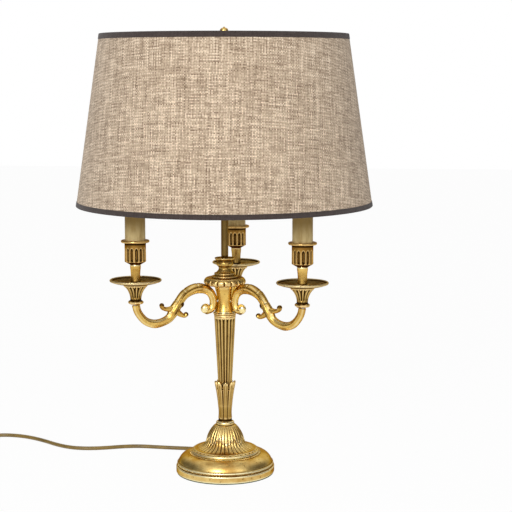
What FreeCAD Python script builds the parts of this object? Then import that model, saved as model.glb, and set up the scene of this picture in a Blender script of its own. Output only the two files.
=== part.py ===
import FreeCAD, Part
import math
import os

from FreeCAD import Vector

# Bouillotte lamp: a gilt base and fluted column, three scrolled candle arms, and a drum shade on a rod.
# Millimetres. The axis of the column is Z, the table is z = 0, and the back arm points along +Y.

# Base: a cast foot under a fluted, leafed dome
foot_radius = 67.8
foot_wall_height = 9.0
foot_bead_radius = 66.3
foot_bead_height = 5.6
foot_band_radius = 65.5
foot_band_bulge = 1.3
foot_height = 28.7
foot_wall = 3.6
felt_thickness = 1.2
felt_margin = 1.0
dome_edge_radius = 46.6
dome_edge_height = 3.4
flare_radius = 43.0
flare_height = 5.3
flare_dip = 2.6
dome_radius = 25.9
dome_foot_height = 16.3
dome_shoulder_radius = 18.0
dome_shoulder_height = 36.6
dome_height = 42.8
neck_ring_radius = 12.6
neck_ring_height = 4.0
casting_wall = 3.0

# Ballast and the threaded tube that ties the column together
ballast_thickness = 12.0
ballast_bore = 15.0
ballast_margin = 3.0
tube_radius = 5.0
tube_bore = 3.5
tube_hole_radius = 2.2
tube_clearance = 0.15
nut_radius = 9.0
nut_height = 5.0
washer_radius = 12.0
washer_thickness = 1.5
tube_tail = 8.0

# Column: a cup of eight leaves, a fluted shaft, a collar
leaf_cup_height = 55.5
leaf_cup_foot_radius = 9.4
leaf_cup_waist_radius = 8.5
leaf_cup_tip_radius = 14.6
leaf_count = 8
leaf_cup_depth = 13.0
leaf_notch_depth = 7.0
front_leaf_angle = -79.0
shaft_height = 91.5
shaft_foot_radius = 9.6
shaft_top_radius = 14.2
flute_count = 16
flute_radius = 1.5
collar_radius = 16.1
collar_ring_radius = 15.0
collar_height = 5.1

# Hub that carries the arms, its lobed cap, the crown and the dish on top
hub_height = 37.4
hub_foot_radius = 14.4
hub_waist_radius = 11.0
hub_waist_height = 16.4
hub_top_radius = 13.6
hub_chamber_radius = 8.0
hub_chamber_length = 18.0
cap_radius = 28.9
cap_height = 11.0
cap_underside_radius = 23.5
cap_lobe_count = 18
cap_lobe_groove = 1.5
cap_lobe_turn = 5.0
crown_radius = 17.8
crown_height = 9.2
crown_ring_radius = 14.5
crown_top_radius = 9.6
dish_neck_radius = 8.4
dish_neck_height = 6.8
dish_ring_radius = 11.3
dish_ring_height = 5.4
dish_radius = 13.9
dish_height = 5.6

# Arms: C scroll, leaf and U, each at its own reach from the axis
arm_count = 3
back_arm_angle = 90.0
arm_reach = 128.0
arm_seat_height = 19.6
arm_drawing_unit = 1.0
scroll_knob_offset = 18.0
scroll_knob_height = 6.7
scroll_knob_radius = 5.8
scroll_knob_width = 10.0
curl_radius = 3.3
curl_width = 9.0
arm_end_radius = 5.5
arm_seat_depth = 6.0
arm_pad_radius = 4.6
arm_pad_sink = 1.0
arm_pad_reach = 5.0
seat_gap = 0.02
stud_radius = 2.6
stud_bore = 1.9
stud_grip = 4.0
wire_radius = 1.3
wire_way_radius = 1.9

# Arm end: knop and ribbed cup, drip pan, stem, candle cup
knop_radius = 9.9
knop_height = 5.3
ribbed_cup_radius = 16.2
ribbed_cup_height = 21.5
rib_count = 14
rib_groove = 1.3
pan_radius = 34.5
pan_depth = 7.0
pan_lip = 3.2
pan_wall = 1.8
stem_height = 24.6
stem_radius = 7.2
stem_waist_radius = 5.3
cup_foot_radius = 7.5
cup_radius = 14.1
cup_height = 29.6
cup_rim_radius = 18.9
cup_rim_height = 3.0
cup_chamber_radius = 10.4
cup_flute_count = 14
cup_flute_radius = 1.8
nipple_radius = 3.0
nipple_bore = 1.9
nipple_clearance = 0.1
nipple_grip = 6.0
nipple_tail = 7.0
small_nut_radius = 6.0
small_nut_height = 4.0

# Candle: sleeve, lamp holder, bulb
sleeve_radius = 13.5
sleeve_wall = 1.3
sleeve_seat_depth = 2.0
sleeve_height = 87.5
holder_radius = 11.8
holder_body_height = 40.0
holder_top_gap = 3.0
bulb_cap_radius = 6.8
bulb_cap_height = 25.0
bulb_gap = 0.4
bulb_radius = 17.5
bulb_height = 77.0
bulb_wall = 0.8

# Rod, shade carrier and finial
rod_radius = 4.9
rod_top = 598.0
rod_tenon_radius = 3.6
rod_tenon_length = 9.0
finial_height = 11.0
finial_radius = 5.6
finial_pin_radius = 2.5
finial_pin_length = 5.0
running_clearance = 0.05
body_gap = 0.3
carrier_radius = 9.0
carrier_height = 16.0
carrier_spigot_radius = 7.0
carrier_spigot_height = 6.5
screw_angle = 30.0
screw_radius = 2.0
screw_boss_radius = 4.2
screw_boss_reach = 12.0
screw_knob_radius = 6.5
screw_knob_thickness = 4.5

# Shade: fabric laminated on a stiff liner, two wire rings, bound edges
shade_bottom = 370.8
shade_height = 228.8
shade_bottom_radius = 200.0
shade_top_radius = 166.5
fabric_thickness = 0.7
liner_thickness = 0.7
trim_thickness = 0.6
bottom_trim_height = 6.8
top_trim_height = 7.6
ring_wire_radius = 1.7
ring_inset = 4.2
spoke_count = 3
spider_hub_radius = 12.0
spider_hub_height = 4.0

# Cord, in-line switch, put-away coil and plug
cord_radius = 2.75
cord_exit_angle = 120.0
cord_exit_height = 5.6
relief_length = 20.0
relief_root_radius = 4.2
relief_tip_radius = 3.4
cord_lead_out = 14.0
inner_cord_bend = 9.0
switch_length = 60.0
switch_width = 24.0
switch_height = 15.0
switch_wall = 2.0
rocker_length = 15.0
rocker_width = 9.0
rocker_tilt = 8.0
cheek_length = 6.0
rocker_pin_radius = 1.2
coil_outer_radius = 40.0
coil_turns_per_layer = 3
coil_pitch = 6.0
coil_layer_rise = 5.95
coil_tail_run = 20.0
plug_length = 36.0
plug_width = 35.3
plug_neck_width = 17.0
plug_thickness = 13.7
pin_radius = 2.0
pin_spacing = 18.6
pin_length = 19.0
pin_root = 6.0
pin_root_radius = 1.7
pin_root_step = 0.6

# Route of the free cord on the table, from the strain relief to the switch, chosen by hand
CORD_ROUTE = [
    (-63.0, 98.5, 3.6), (-83.0, 102.0, 2.75), (-112.0, 104.0, 2.75),
    (-141.0, 107.0, 2.75), (-166.0, 101.5, 2.75), (-190.0, 91.0, 2.75), (-215.0, 85.0, 2.75),
    (-240.0, 87.5, 2.75), (-264.0, 101.0, 2.75), (-288.0, 121.5, 2.75), (-314.0, 138.5, 2.75),
    (-340.0, 147.5, 2.75), (-363.0, 147.0, 2.75), (-381.0, 137.0, 2.75), (-391.0, 119.0, 2.75),
    (-394.0, 101.0, 2.75), (-394.0, 83.5, 7.5), (-394.0, 66.0, 7.5),
]
LINK_DROP = [(14.0, 7.5), (32.0, 2.75), (46.0, 2.75)]

# Levels up the column
dome_level = foot_height
leaf_cup_level = dome_level + dome_height
shaft_level = leaf_cup_level + leaf_cup_height
collar_level = shaft_level + shaft_height
hub_level = collar_level + collar_height
cap_level = hub_level + hub_height
crown_level = cap_level + cap_height
dish_level = crown_level + crown_height
rod_level = dish_level + dish_neck_height + dish_ring_height + dish_height
web_level = foot_height - casting_wall
tube_bottom = web_level - washer_thickness - nut_height - 2.0
tube_top = dish_level + tube_tail

# Levels up an arm end
arm_end_level = hub_level + arm_seat_height
ribbed_cup_level = arm_end_level + knop_height
pan_level = arm_end_level + knop_height + ribbed_cup_height
stem_level = pan_level + pan_wall
cup_level = stem_level + stem_height
sleeve_level = cup_level + cup_height + cup_rim_height - sleeve_seat_depth
sleeve_top = sleeve_level + sleeve_height
holder_top = sleeve_top - holder_top_gap
cup_floor = cup_level + 8.0
stud_level = hub_level + hub_waist_height

UP = Vector(0, 0, 1)
ORIGIN = Vector(0, 0, 0)


def lathe(first, *steps):
    """Turn a closed outline of (radius, height) about Z; a pair of points is an arc through the first."""
    start = here = Vector(first[0], 0, first[1])
    edges = []
    for step in steps:
        if isinstance(step[0], tuple):
            middle = Vector(step[0][0], 0, step[0][1])
            end = Vector(step[1][0], 0, step[1][1])
            edges.append(Part.Arc(here, middle, end).toShape())
        else:
            end = Vector(step[0], 0, step[1])
            edges.append(Part.LineSegment(here, end).toShape())
        here = end
    edges.append(Part.LineSegment(here, start).toShape())
    return Part.Face(Part.Wire(edges)).revolve(ORIGIN, UP, 360)


def turned(shape, degrees, about=ORIGIN, axis=UP):
    copy = shape.copy()
    copy.rotate(about, axis, degrees)
    return copy


def moved(shape, x=0.0, y=0.0, z=0.0):
    copy = shape.copy()
    copy.translate(Vector(x, y, z))
    return copy


def ring_of(shape, count, start=0.0):
    return [turned(shape, start + 360.0 * i / count) for i in range(count)]


def cylinder(radius, start, end):
    return Part.makeCylinder(radius, (end - start).Length, start, end - start)


def hexagon(across_corners, height, level, bore):
    turns = [math.radians(60 * i) for i in range(7)]
    corners = [Vector(across_corners * math.cos(t), across_corners * math.sin(t), level) for t in turns]
    nut = Part.Face(Part.makePolygon(corners)).extrude(Vector(0, 0, height))
    return nut.cut(Part.makeCylinder(bore, height + 2, Vector(0, 0, level - 1)))


def arm_angles():
    return [back_arm_angle + 360.0 * i / arm_count for i in range(arm_count)]


def at_arm_end(shape, angle):
    """Place a piece that was turned about Z on the axis of the arm end at this angle."""
    return turned(moved(shape, x=arm_reach), angle)


# Paths of straight runs and tangent arcs

def rounded_path(points, name):
    """Edges through the corners of a route, each rounded as widely as its two runs allow."""
    edges = []
    radii = []
    here = points[0]
    for before, corner, after in zip(points, points[1:], points[2:]):
        back = (before - corner).normalize()
        ahead = (after - corner).normalize()
        set_back = 0.45 * min((corner - before).Length, (after - corner).Length)
        half_turn = (math.pi - back.getAngle(ahead)) / 2
        radii.append(set_back / math.tan(half_turn))
        begin = corner + back * set_back
        end = corner + ahead * set_back
        middle_way = (back + ahead).normalize()
        depth = radii[-1] / math.cos(half_turn) - radii[-1]
        edges.append(Part.LineSegment(here, begin).toShape())
        edges.append(Part.Arc(begin, corner + middle_way * depth, end).toShape())
        here = end
    edges.append(Part.LineSegment(here, points[-1]).toShape())
    print(name, "radii", [round(r) for r in radii])
    return edges


def tube(edges, radius, name):
    """Sweep a round section along the edges and compare its volume with section times length."""
    path = Part.Wire(edges)
    start = edges[0].valueAt(edges[0].FirstParameter)
    ahead = edges[0].tangentAt(edges[0].FirstParameter)
    section = Part.Wire([Part.makeCircle(radius, start, ahead)])
    sweep = Part.BRepOffsetAPI.MakePipeShell(path)
    sweep.add(section)
    sweep.build()
    sweep.makeSolid()
    solid = sweep.shape()
    expected = math.pi * radius ** 2 * path.Length
    print(name, "length", round(path.Length, 1), "volume share", round(solid.Volume / expected, 4))
    return solid


# Base

def base_foot():
    ring_top = foot_wall_height + foot_bead_height
    band_low = (foot_band_radius, ring_top + 2.4)
    band_high = (dome_edge_radius + 0.5, foot_height)
    band_mid = (
        (band_low[0] + band_high[0]) / 2 + foot_band_bulge,
        (band_low[1] + band_high[1]) / 2 + foot_band_bulge,
    )
    inner = foot_radius - foot_wall
    foot = lathe(
        (foot_radius - 0.8, felt_thickness), (foot_radius, felt_thickness + 0.8),
        (foot_radius, foot_wall_height),
        (foot_bead_radius - 1.2, foot_wall_height + 1.2),
        ((foot_bead_radius, foot_wall_height + 3.0), (foot_bead_radius - 1.2, foot_wall_height + 4.8)),
        (foot_band_radius - 1.0, ring_top), (foot_band_radius, ring_top + 1.0), band_low,
        (band_mid, band_high),
        (tube_radius + tube_clearance, foot_height), (tube_radius + tube_clearance, web_level),
        (dome_edge_radius - 1.0, web_level), (inner - 3.0, ring_top), (inner, foot_wall_height),
        (inner, felt_thickness),
    )
    return foot.cut(cylinder(relief_root_radius, *relief_line(inner - 4.0, foot_radius + 1.0)))


def base_dome():
    z = dome_level
    neck_base = z + dome_height - neck_ring_height
    bore = tube_radius + tube_clearance
    flare_middle = ((dome_radius + flare_radius) / 2, z + (dome_foot_height + flare_height) / 2)
    return lathe(
        (bore, z + dome_height), (neck_ring_radius - 0.9, z + dome_height),
        ((neck_ring_radius, neck_base + neck_ring_height / 2), (neck_ring_radius - 0.4, neck_base)),
        (dome_shoulder_radius - 2.5, neck_base - 1.0), (dome_shoulder_radius, z + dome_shoulder_height),
        ((dome_radius - 3.4, z + dome_foot_height + 12.0), (dome_radius, z + dome_foot_height)),
        ((flare_middle[0] - flare_dip, flare_middle[1] - flare_dip), (flare_radius, z + flare_height)),
        (dome_edge_radius - 0.9, z + dome_edge_height),
        ((dome_edge_radius, z + dome_edge_height / 2), (dome_edge_radius - 0.9, z)),
        (flare_radius - casting_wall, z),
        (dome_radius - casting_wall, z + dome_foot_height - casting_wall - 1.5),
        (dome_shoulder_radius - casting_wall, z + dome_shoulder_height - casting_wall - 3.0),
        (bore, z + dome_shoulder_height - casting_wall - 3.0),
    )


def ballast_ring():
    top = web_level
    low = top - ballast_thickness
    rim = dome_edge_radius - ballast_margin
    return lathe((ballast_bore, top), (rim, top), (rim, low), (ballast_bore, low))


def felt_pad():
    return Part.makeCylinder(foot_radius - felt_margin, felt_thickness)


def tie_tube():
    tie = lathe(
        (tube_bore, tube_bottom), (tube_radius, tube_bottom), (tube_radius, tube_top), (tube_bore, tube_top),
    )
    for angle in arm_angles():
        hole = cylinder(tube_hole_radius, Vector(0, 0, stud_level), Vector(tube_radius + 2, 0, stud_level))
        tie = tie.cut(turned(hole, angle))
    return tie


def tie_nuts():
    washer_low = web_level - washer_thickness
    washer = lathe(
        (tube_radius + tube_clearance, washer_low), (washer_radius, washer_low),
        (washer_radius, web_level), (tube_radius + tube_clearance, web_level),
    )
    nut = hexagon(nut_radius, nut_height, washer_low - nut_height, tube_radius)
    return [washer, nut]


# Column

def leaf_cup():
    z = leaf_cup_level
    h = leaf_cup_height
    bore = tube_radius + tube_clearance
    cup = lathe(
        (bore, z), (neck_ring_radius - 1.6, z),
        ((leaf_cup_foot_radius, z + 1.5), (leaf_cup_foot_radius - 0.4, z + 4.5)),
        ((leaf_cup_waist_radius, z + h * 0.2), (leaf_cup_waist_radius + 0.6, z + h * 0.4)),
        ((leaf_cup_tip_radius - 3.2, z + h * 0.76), (leaf_cup_tip_radius, z + h)),
        (leaf_cup_tip_radius - 1.8, z + h), (shaft_foot_radius + 0.2, z + h - leaf_cup_depth),
        (bore, z + h - leaf_cup_depth),
    )
    half = math.pi / leaf_count
    reach = leaf_cup_tip_radius + 6.0
    side = reach * math.tan(half * 0.92)
    top = z + h + 0.5
    low = z + h - leaf_notch_depth + 0.5
    notch = Part.Face(Part.makePolygon([
        Vector(reach, -side, top), Vector(reach, side, top), Vector(reach, 0, low), Vector(reach, -side, top),
    ])).extrude(Vector(-reach + bore + 1.0, 0, 0))
    return cup.cut(ring_of(notch, leaf_count, front_leaf_angle + 180.0 / leaf_count))


def fluted_shaft():
    low = shaft_level - leaf_cup_depth
    top = collar_level
    bore = tube_radius + tube_clearance
    shaft = lathe(
        (bore, low), (shaft_foot_radius - 0.4, low), (shaft_foot_radius, shaft_level),
        (shaft_top_radius, top - 3.0), (shaft_top_radius + 0.4, top), (bore, top),
    )
    lean = (shaft_top_radius - shaft_foot_radius) / (shaft_height - 3.0)
    first = Vector(shaft_foot_radius + 0.6, 0, shaft_level - 2.0)
    length = shaft_height - 12.0
    last = first + Vector(lean * length, 0, length)
    flute = cylinder(flute_radius, first, last).fuse(Part.makeSphere(flute_radius, last))
    return shaft.cut(ring_of(flute, flute_count, front_leaf_angle + 180.0 / flute_count))


def shaft_collar():
    z = collar_level
    bore = tube_radius + tube_clearance
    low_ring = collar_height * 0.55
    return lathe(
        (bore, z), (collar_ring_radius - 0.8, z),
        ((collar_ring_radius, z + low_ring / 2), (collar_ring_radius - 0.8, z + low_ring)),
        (collar_radius - 0.5, z + low_ring + 0.2), (collar_radius, z + low_ring + 0.8),
        (collar_radius, z + collar_height - 0.5), (collar_radius - 0.5, z + collar_height),
        (bore, z + collar_height),
    )


def hub_block(grow=0.0):
    """The hub's outer form as one block, grown by a gap where an arm is cut to fit it."""
    z = hub_level
    return lathe(
        (0, z), (hub_foot_radius + grow, z), (hub_foot_radius + grow, z + 2.0),
        ((hub_waist_radius + grow, z + hub_waist_height), (hub_top_radius + grow, z + hub_height - 4.0)),
        (hub_top_radius + 0.6 + grow, z + hub_height), (0, z + hub_height),
    )


def arm_hub():
    bore = tube_radius + tube_clearance
    chamber_low = stud_level - hub_chamber_length / 2
    way = Part.makeCylinder(bore, hub_height + 2, Vector(0, 0, hub_level - 1))
    chamber = Part.makeCylinder(hub_chamber_radius, hub_chamber_length, Vector(0, 0, chamber_low))
    holes = []
    for angle in arm_angles():
        outside = Vector(hub_foot_radius + 2, 0, stud_level)
        hole = cylinder(stud_radius, Vector(tube_radius, 0, stud_level), outside)
        holes.append(turned(hole, angle))
    return hub_block().cut([way, chamber] + holes)


def cap_block(grow=0.0):
    z = cap_level - grow
    top = cap_level + cap_height
    return lathe(
        (0, z), (cap_underside_radius + grow, z),
        ((cap_radius + grow, z + cap_height * 0.55), (cap_radius - 3.4 + grow, top)), (0, top),
    )


def lobed_cap():
    z = cap_level
    way = Part.makeCylinder(tube_radius + tube_clearance, cap_height + 2, Vector(0, 0, z - 1))
    edge = cap_radius + 0.4
    groove = cylinder(cap_lobe_groove, Vector(edge, 0, z - 1), Vector(edge, 0, z + cap_height + 1))
    first = front_leaf_angle + cap_lobe_turn + 180.0 / cap_lobe_count
    return cap_block().cut([way] + ring_of(groove, cap_lobe_count, first))


def cap_crown():
    z = crown_level
    bore = tube_radius + tube_clearance
    return lathe(
        (bore, z), (crown_radius - 0.8, z), ((crown_radius, z + 1.1), (crown_radius - 0.8, z + 2.2)),
        ((crown_ring_radius - 0.1, z + 3.1), (crown_ring_radius - 0.8, z + 4.2)),
        ((crown_ring_radius, z + 5.2), (crown_ring_radius - 0.8, z + 6.2)),
        ((crown_top_radius + 1.6, z + crown_height - 1.8), (crown_top_radius, z + crown_height)),
        (bore, z + crown_height),
    )


def rod_dish():
    z = dish_level
    bore = tube_radius + tube_clearance
    ring_low = z + dish_neck_height
    ring_high = ring_low + dish_ring_height
    top = ring_high + dish_height
    socket = top - rod_tenon_length
    return lathe(
        (bore, z), (dish_neck_radius + 1.2, z),
        ((dish_neck_radius, z + dish_neck_height * 0.6), (dish_ring_radius - 0.6, ring_low)),
        ((dish_ring_radius, (ring_low + ring_high) / 2), (dish_ring_radius - 0.6, ring_high)),
        (dish_neck_radius + 0.6, ring_high + 1.6), (dish_radius, top - 1.4), (dish_radius, top),
        (rod_tenon_radius + 0.1, top), (rod_tenon_radius + 0.1, socket), (bore, socket),
    )


# Arms

def arm_stations():
    """Centreline stations: distance from the axis, height, half thickness in the plane, half width."""
    u = arm_drawing_unit
    scroll_and_leaf = [
        (15.6, 2.6, 3.8, 4.4), (9.2, 5.6, 4.6, 4.7), (6.1, 12.4, 5.0, 4.8), (6.2, 19.8, 5.2, 5.0),
        (10.4, 28.4, 5.6, 5.4), (19.0, 33.9, 6.4, 6.0), (32.5, 35.0, 6.7, 6.3), (47.0, 28.8, 6.2, 6.2),
        (56.0, 18.4, 6.0, 6.0), (63.2, 7.2, 7.0, 6.4),
    ]
    bow_to_seat = [
        (-47.5, -2.0, 5.8, 5.2), (-39.5, -6.6, 5.4, 4.6), (-27.0, -9.0, 5.6, 4.3), (-15.2, -5.4, 5.2, 4.3),
        (-7.4, 1.6, 4.9, 4.3), (-2.0, 10.4, 4.9, 4.5), (0.0, arm_seat_height / u - 1.0, 5.1, 4.8),
    ]
    stations = []
    for start, line in ((hub_waist_radius, scroll_and_leaf), (arm_reach, bow_to_seat)):
        stations += [(start + x * u, hub_level + h * u, thick * u, wide * u) for x, h, thick, wide in line]
    return stations


def arm_strap():
    """Loft an eight-sided section, widest at the middle, along the arm's centreline."""
    stations = arm_stations()
    centres = [Vector(s[0], 0, s[1]) for s in stations]
    line = Part.BSplineCurve()
    line.interpolate(Points=centres, InitialTangent=Vector(-1, 0, -0.1), FinalTangent=UP)
    outline = [(1.0, 0.42), (0.5, 1.0), (-0.5, 1.0), (-1.0, 0.42)]
    outline += [(u, -v) for u, v in reversed(outline)]
    sections = []
    for centre, (_, _, thick, wide) in zip(centres, stations):
        ahead = Vector(*line.tangent(line.parameter(centre))[0])
        across = Vector(-ahead.z, 0, ahead.x)
        side = Vector(0, 1, 0)
        corners = [centre + across * (u * thick) + side * (v * wide) for u, v in outline]
        sections.append(Part.makePolygon(corners + corners[:1]))
    return Part.makeLoft(sections, True, False)


def leaf_tip(corners, curl):
    """A flat tongue with a rolled end, drawn from the hub's waist at the hub's foot."""
    def drawn(x, y, h):
        return Vector(hub_waist_radius + x * arm_drawing_unit, y, hub_level + h * arm_drawing_unit)

    half = curl_width * 0.4
    points = [drawn(x, -half, h) for x, h in corners]
    tongue = Part.Face(Part.makePolygon(points + points[:1])).extrude(Vector(0, 2 * half, 0))
    roll_half = curl_width / 2
    roll = cylinder(curl_radius, drawn(curl[0], -roll_half, curl[1]), drawn(curl[0], roll_half, curl[1]))
    return tongue.fuse(roll)


def wire_route():
    """Way of the wire from the hub through the arm and up to the lamp holder, in the arm's plane."""
    stations = arm_stations()[4:15]
    inner = [(tube_radius + 1.6, stud_level), (hub_waist_radius + 7.6, stud_level)]
    along = [(s[0], s[1]) for s in stations]
    return inner + along + [(arm_reach, arm_end_level - nipple_grip - 2.0), (arm_reach, nipple_top())]


def arm_blank():
    near = hub_waist_radius
    arm_top = Vector(arm_reach, 0, arm_end_level)
    knob = Vector(near + scroll_knob_offset, 0, hub_level + scroll_knob_height)
    across = Vector(0, scroll_knob_width / 2, 0)
    pad_inner = Vector(near - arm_pad_sink, 0, stud_level)
    pad_outer = Vector(near + arm_pad_reach, 0, stud_level)
    upper = [(60, 15), (66, 16.5), (71, 13.5), (81, 17), (81, 10.6), (72, 8), (66, 4)]
    lower = [(56, 12), (50.5, 7), (45, 2), (47, -3.2), (53, -0.5), (62, 2)]
    arm = arm_strap().fuse([
        cylinder(scroll_knob_radius, knob - across, knob + across),
        leaf_tip(upper, (81.5, 13.8)),
        leaf_tip(lower, (47.5, -0.1)),
        cylinder(arm_end_radius, arm_top - UP * arm_seat_depth, arm_top),
        cylinder(arm_pad_radius, pad_inner, pad_outer),
    ])
    way = tube(wire_path(), wire_way_radius, "wire way")
    stud_hole = cylinder(stud_radius, Vector(0, 0, stud_level), Vector(near + stud_grip, 0, stud_level))
    nipple_hole = cylinder(nipple_radius + nipple_clearance, arm_top - UP * nipple_grip, arm_top + UP * 2.0)
    return arm.cut([way, stud_hole, nipple_hole, hub_block(seat_gap), cap_block(seat_gap)])


def arm_stud():
    start = Vector(hub_chamber_radius, 0, stud_level)
    end = Vector(hub_waist_radius + stud_grip, 0, stud_level)
    past = Vector(1, 0, 0)
    return cylinder(stud_radius, start, end).cut(cylinder(stud_bore, start - past, end + past))


def wire_path():
    return rounded_path([Vector(r, 0, h) for r, h in wire_route()], "arm wire")


def arm_wires():
    wire = tube(wire_path(), wire_radius, "arm wire")
    return [turned(wire, angle) for angle in arm_angles()]


# Arm ends

def ribbed_cup():
    z = arm_end_level
    bore = nipple_radius + nipple_clearance
    top = pan_level
    cup = lathe(
        (bore, z), (knop_radius - 2.2, z),
        (knop_radius, z + knop_height * 0.35), (knop_radius, z + knop_height * 0.65),
        (knop_radius - 2.4, z + knop_height), (knop_radius - 2.2, z + knop_height + 1.0),
        ((knop_radius - 0.6, z + knop_height + ribbed_cup_height * 0.5), (ribbed_cup_radius, top - 2.0)),
        (ribbed_cup_radius - 0.4, top), (bore, top),
    )
    groove_low = Vector(knop_radius - 1.4, 0, ribbed_cup_level + 5.0)
    groove_high = Vector(ribbed_cup_radius + 0.2, 0, top - 1.0)
    groove = cylinder(rib_groove, groove_low, groove_high).fuse(Part.makeSphere(rib_groove, groove_high))
    return cup.cut(ring_of(groove, rib_count, 180.0 / rib_count))


def drip_pan():
    """A shallow saucer: a thin floor that rises to an upright beaded lip."""
    z = pan_level
    bore = nipple_radius + nipple_clearance
    rim = pan_radius
    top = z + pan_depth
    lip_low = top - pan_lip
    return lathe(
        (bore, z), (ribbed_cup_radius + 0.6, z), ((rim - 8.0, z + 0.24 * pan_depth), (rim - 0.8, lip_low)),
        ((rim, top - pan_lip / 2), (rim - 0.6, top - 0.3)), (rim - 1.0, top), (rim - 1.6, top - 0.3),
        (rim - 2.6, lip_low + 0.6),
        ((rim - 9.0, z + pan_wall + 0.14 * pan_depth), (rim - 15.0, z + pan_wall)), (bore, z + pan_wall),
    )


def cup_stem():
    z = stem_level
    top = cup_level
    bore = nipple_radius + nipple_clearance
    return lathe(
        (bore, z), (stem_radius + 1.4, z), (stem_radius + 1.4, z + 1.8), (stem_waist_radius + 0.6, z + 4.0),
        ((stem_waist_radius, z + stem_height * 0.35), (stem_radius, z + stem_height * 0.72)),
        ((stem_radius - 0.8, top - 4.0), (stem_radius - 0.4, top - 1.6)), (stem_radius, top), (bore, top),
    )


def candle_cup():
    z = cup_level
    bore = nipple_radius + nipple_clearance
    rim_low = z + cup_height
    rim_high = rim_low + cup_rim_height
    seat = rim_high - sleeve_seat_depth
    cup = lathe(
        (bore, z), (cup_foot_radius, z), (cup_radius, z + 4.2), (cup_radius, rim_low - 1.0),
        (cup_rim_radius - 0.6, rim_low),
        ((cup_rim_radius, rim_low + cup_rim_height / 2), (cup_rim_radius - 0.6, rim_high)),
        (sleeve_radius + 0.1, rim_high), (sleeve_radius + 0.1, seat), (cup_chamber_radius, seat),
        (cup_chamber_radius, cup_floor), (bore, cup_floor),
    )
    low = Vector(cup_radius + 0.5, 0, z + 7.0)
    high = Vector(cup_radius + 0.5, 0, rim_low - 9.0)
    flute = cylinder(cup_flute_radius, low, high).fuse([
        Part.makeSphere(cup_flute_radius, low), Part.makeSphere(cup_flute_radius, high),
    ])
    return cup.cut(ring_of(flute, cup_flute_count))


def nipple_top():
    return cup_floor + small_nut_height + nipple_tail


def arm_fixings():
    """Hollow studs that hold the arms to the hub, and the nipples and nuts that clamp the candle cups."""
    tube_low = arm_end_level - nipple_grip
    tube_high = nipple_top()
    nipple = lathe(
        (nipple_bore, tube_low), (nipple_radius, tube_low),
        (nipple_radius, tube_high), (nipple_bore, tube_high),
    )
    nut = hexagon(small_nut_radius, small_nut_height, cup_floor, nipple_radius)
    pieces = []
    for angle in arm_angles():
        pieces += [turned(arm_stud(), angle), at_arm_end(nipple, angle), at_arm_end(nut, angle)]
    return pieces


def candle_sleeve():
    inner = sleeve_radius - sleeve_wall
    return lathe(
        (inner, sleeve_level), (sleeve_radius, sleeve_level), (sleeve_radius, sleeve_top - 0.6),
        (sleeve_radius - 0.4, sleeve_top), (inner, sleeve_top),
    )


def lamp_holders():
    foot = cup_floor + small_nut_height
    body_low = holder_top - holder_body_height
    socket = bulb_cap_radius + bulb_gap
    floor = bulb_low() - bulb_gap
    holder = lathe(
        (nipple_radius + 0.1, foot), (nipple_radius + 3.4, foot), (nipple_radius + 3.4, foot + 10.0),
        (nipple_radius + 1.2, foot + 12.0), (nipple_radius + 1.2, body_low - 4.0), (holder_radius, body_low),
        (holder_radius, holder_top), (socket, holder_top), (socket, floor), (2.0, floor),
        (2.0, nipple_top() + 1.0), (nipple_radius + 0.1, nipple_top() + 1.0),
    )
    return [at_arm_end(holder, angle) for angle in arm_angles()]


def bulb_low():
    return holder_top + 1.5 - bulb_cap_height


def bulb_cap():
    low = bulb_low()
    top = low + bulb_cap_height
    r = bulb_cap_radius
    return lathe(
        (0, low), (2.6, low), (3.2, low + 1.4), (5.2, low + 3.6), (r - 0.4, low + 4.4), (r, low + 5.4),
        (r, top - 1.2), (r + 0.9, top), (0, top),
    )


def bulb_glass():
    low = bulb_low() + bulb_cap_height
    belly = low + bulb_height * 0.36
    tip = low + bulb_height
    w = bulb_wall
    neck = bulb_cap_radius + 0.7
    swell = (bulb_radius - 3.6, low + bulb_height * 0.14)
    taper = (bulb_radius * 0.66, low + bulb_height * 0.74)
    shell = lathe(
        (0, low), (neck, low), (swell, (bulb_radius, belly)), (taper, (1.2, tip - 0.6)), (0, tip),
    )
    hollow = lathe(
        (0, low + w), (neck - w, low + w), ((swell[0] - w, swell[1]), (bulb_radius - w, belly)),
        ((taper[0] - w, taper[1]), (1.2 - w / 2, tip - 0.6 - 3 * w)), (0, tip - 3.2 * w),
    )
    return shell.cut(hollow)


# Rod, carrier and finial

def shade_rod():
    foot = rod_level - rod_tenon_length
    pin_top = rod_top + finial_pin_length
    return lathe(
        (0, foot + 0.2), (rod_tenon_radius, foot + 0.2), (rod_tenon_radius, rod_level),
        (rod_radius, rod_level),
        (rod_radius, rod_top), (finial_pin_radius, rod_top), (finial_pin_radius, pin_top), (0, pin_top),
    )


def finial():
    z = rod_top + body_gap
    top = rod_top + finial_height
    pin = finial_pin_radius + running_clearance
    return lathe(
        (pin, z), (rod_radius - 0.3, z), (rod_radius - 0.3, z + 0.8), (pin + 1.0, z + 1.8),
        ((finial_radius, z + finial_height * 0.48), (1.6, top - 1.6)), (1.0, top - 0.4), (0, top),
        (0, rod_top + finial_pin_length + body_gap), (pin, rod_top + finial_pin_length + body_gap),
    )


def spigot_level():
    return rod_top - 1.6 - carrier_spigot_height


def screw_level():
    return spigot_level() - carrier_height / 2


def along_screw(near, far):
    way = Vector(math.cos(math.radians(screw_angle)), math.sin(math.radians(screw_angle)), 0)
    lift = Vector(0, 0, screw_level())
    return way * near + lift, way * far + lift


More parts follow.
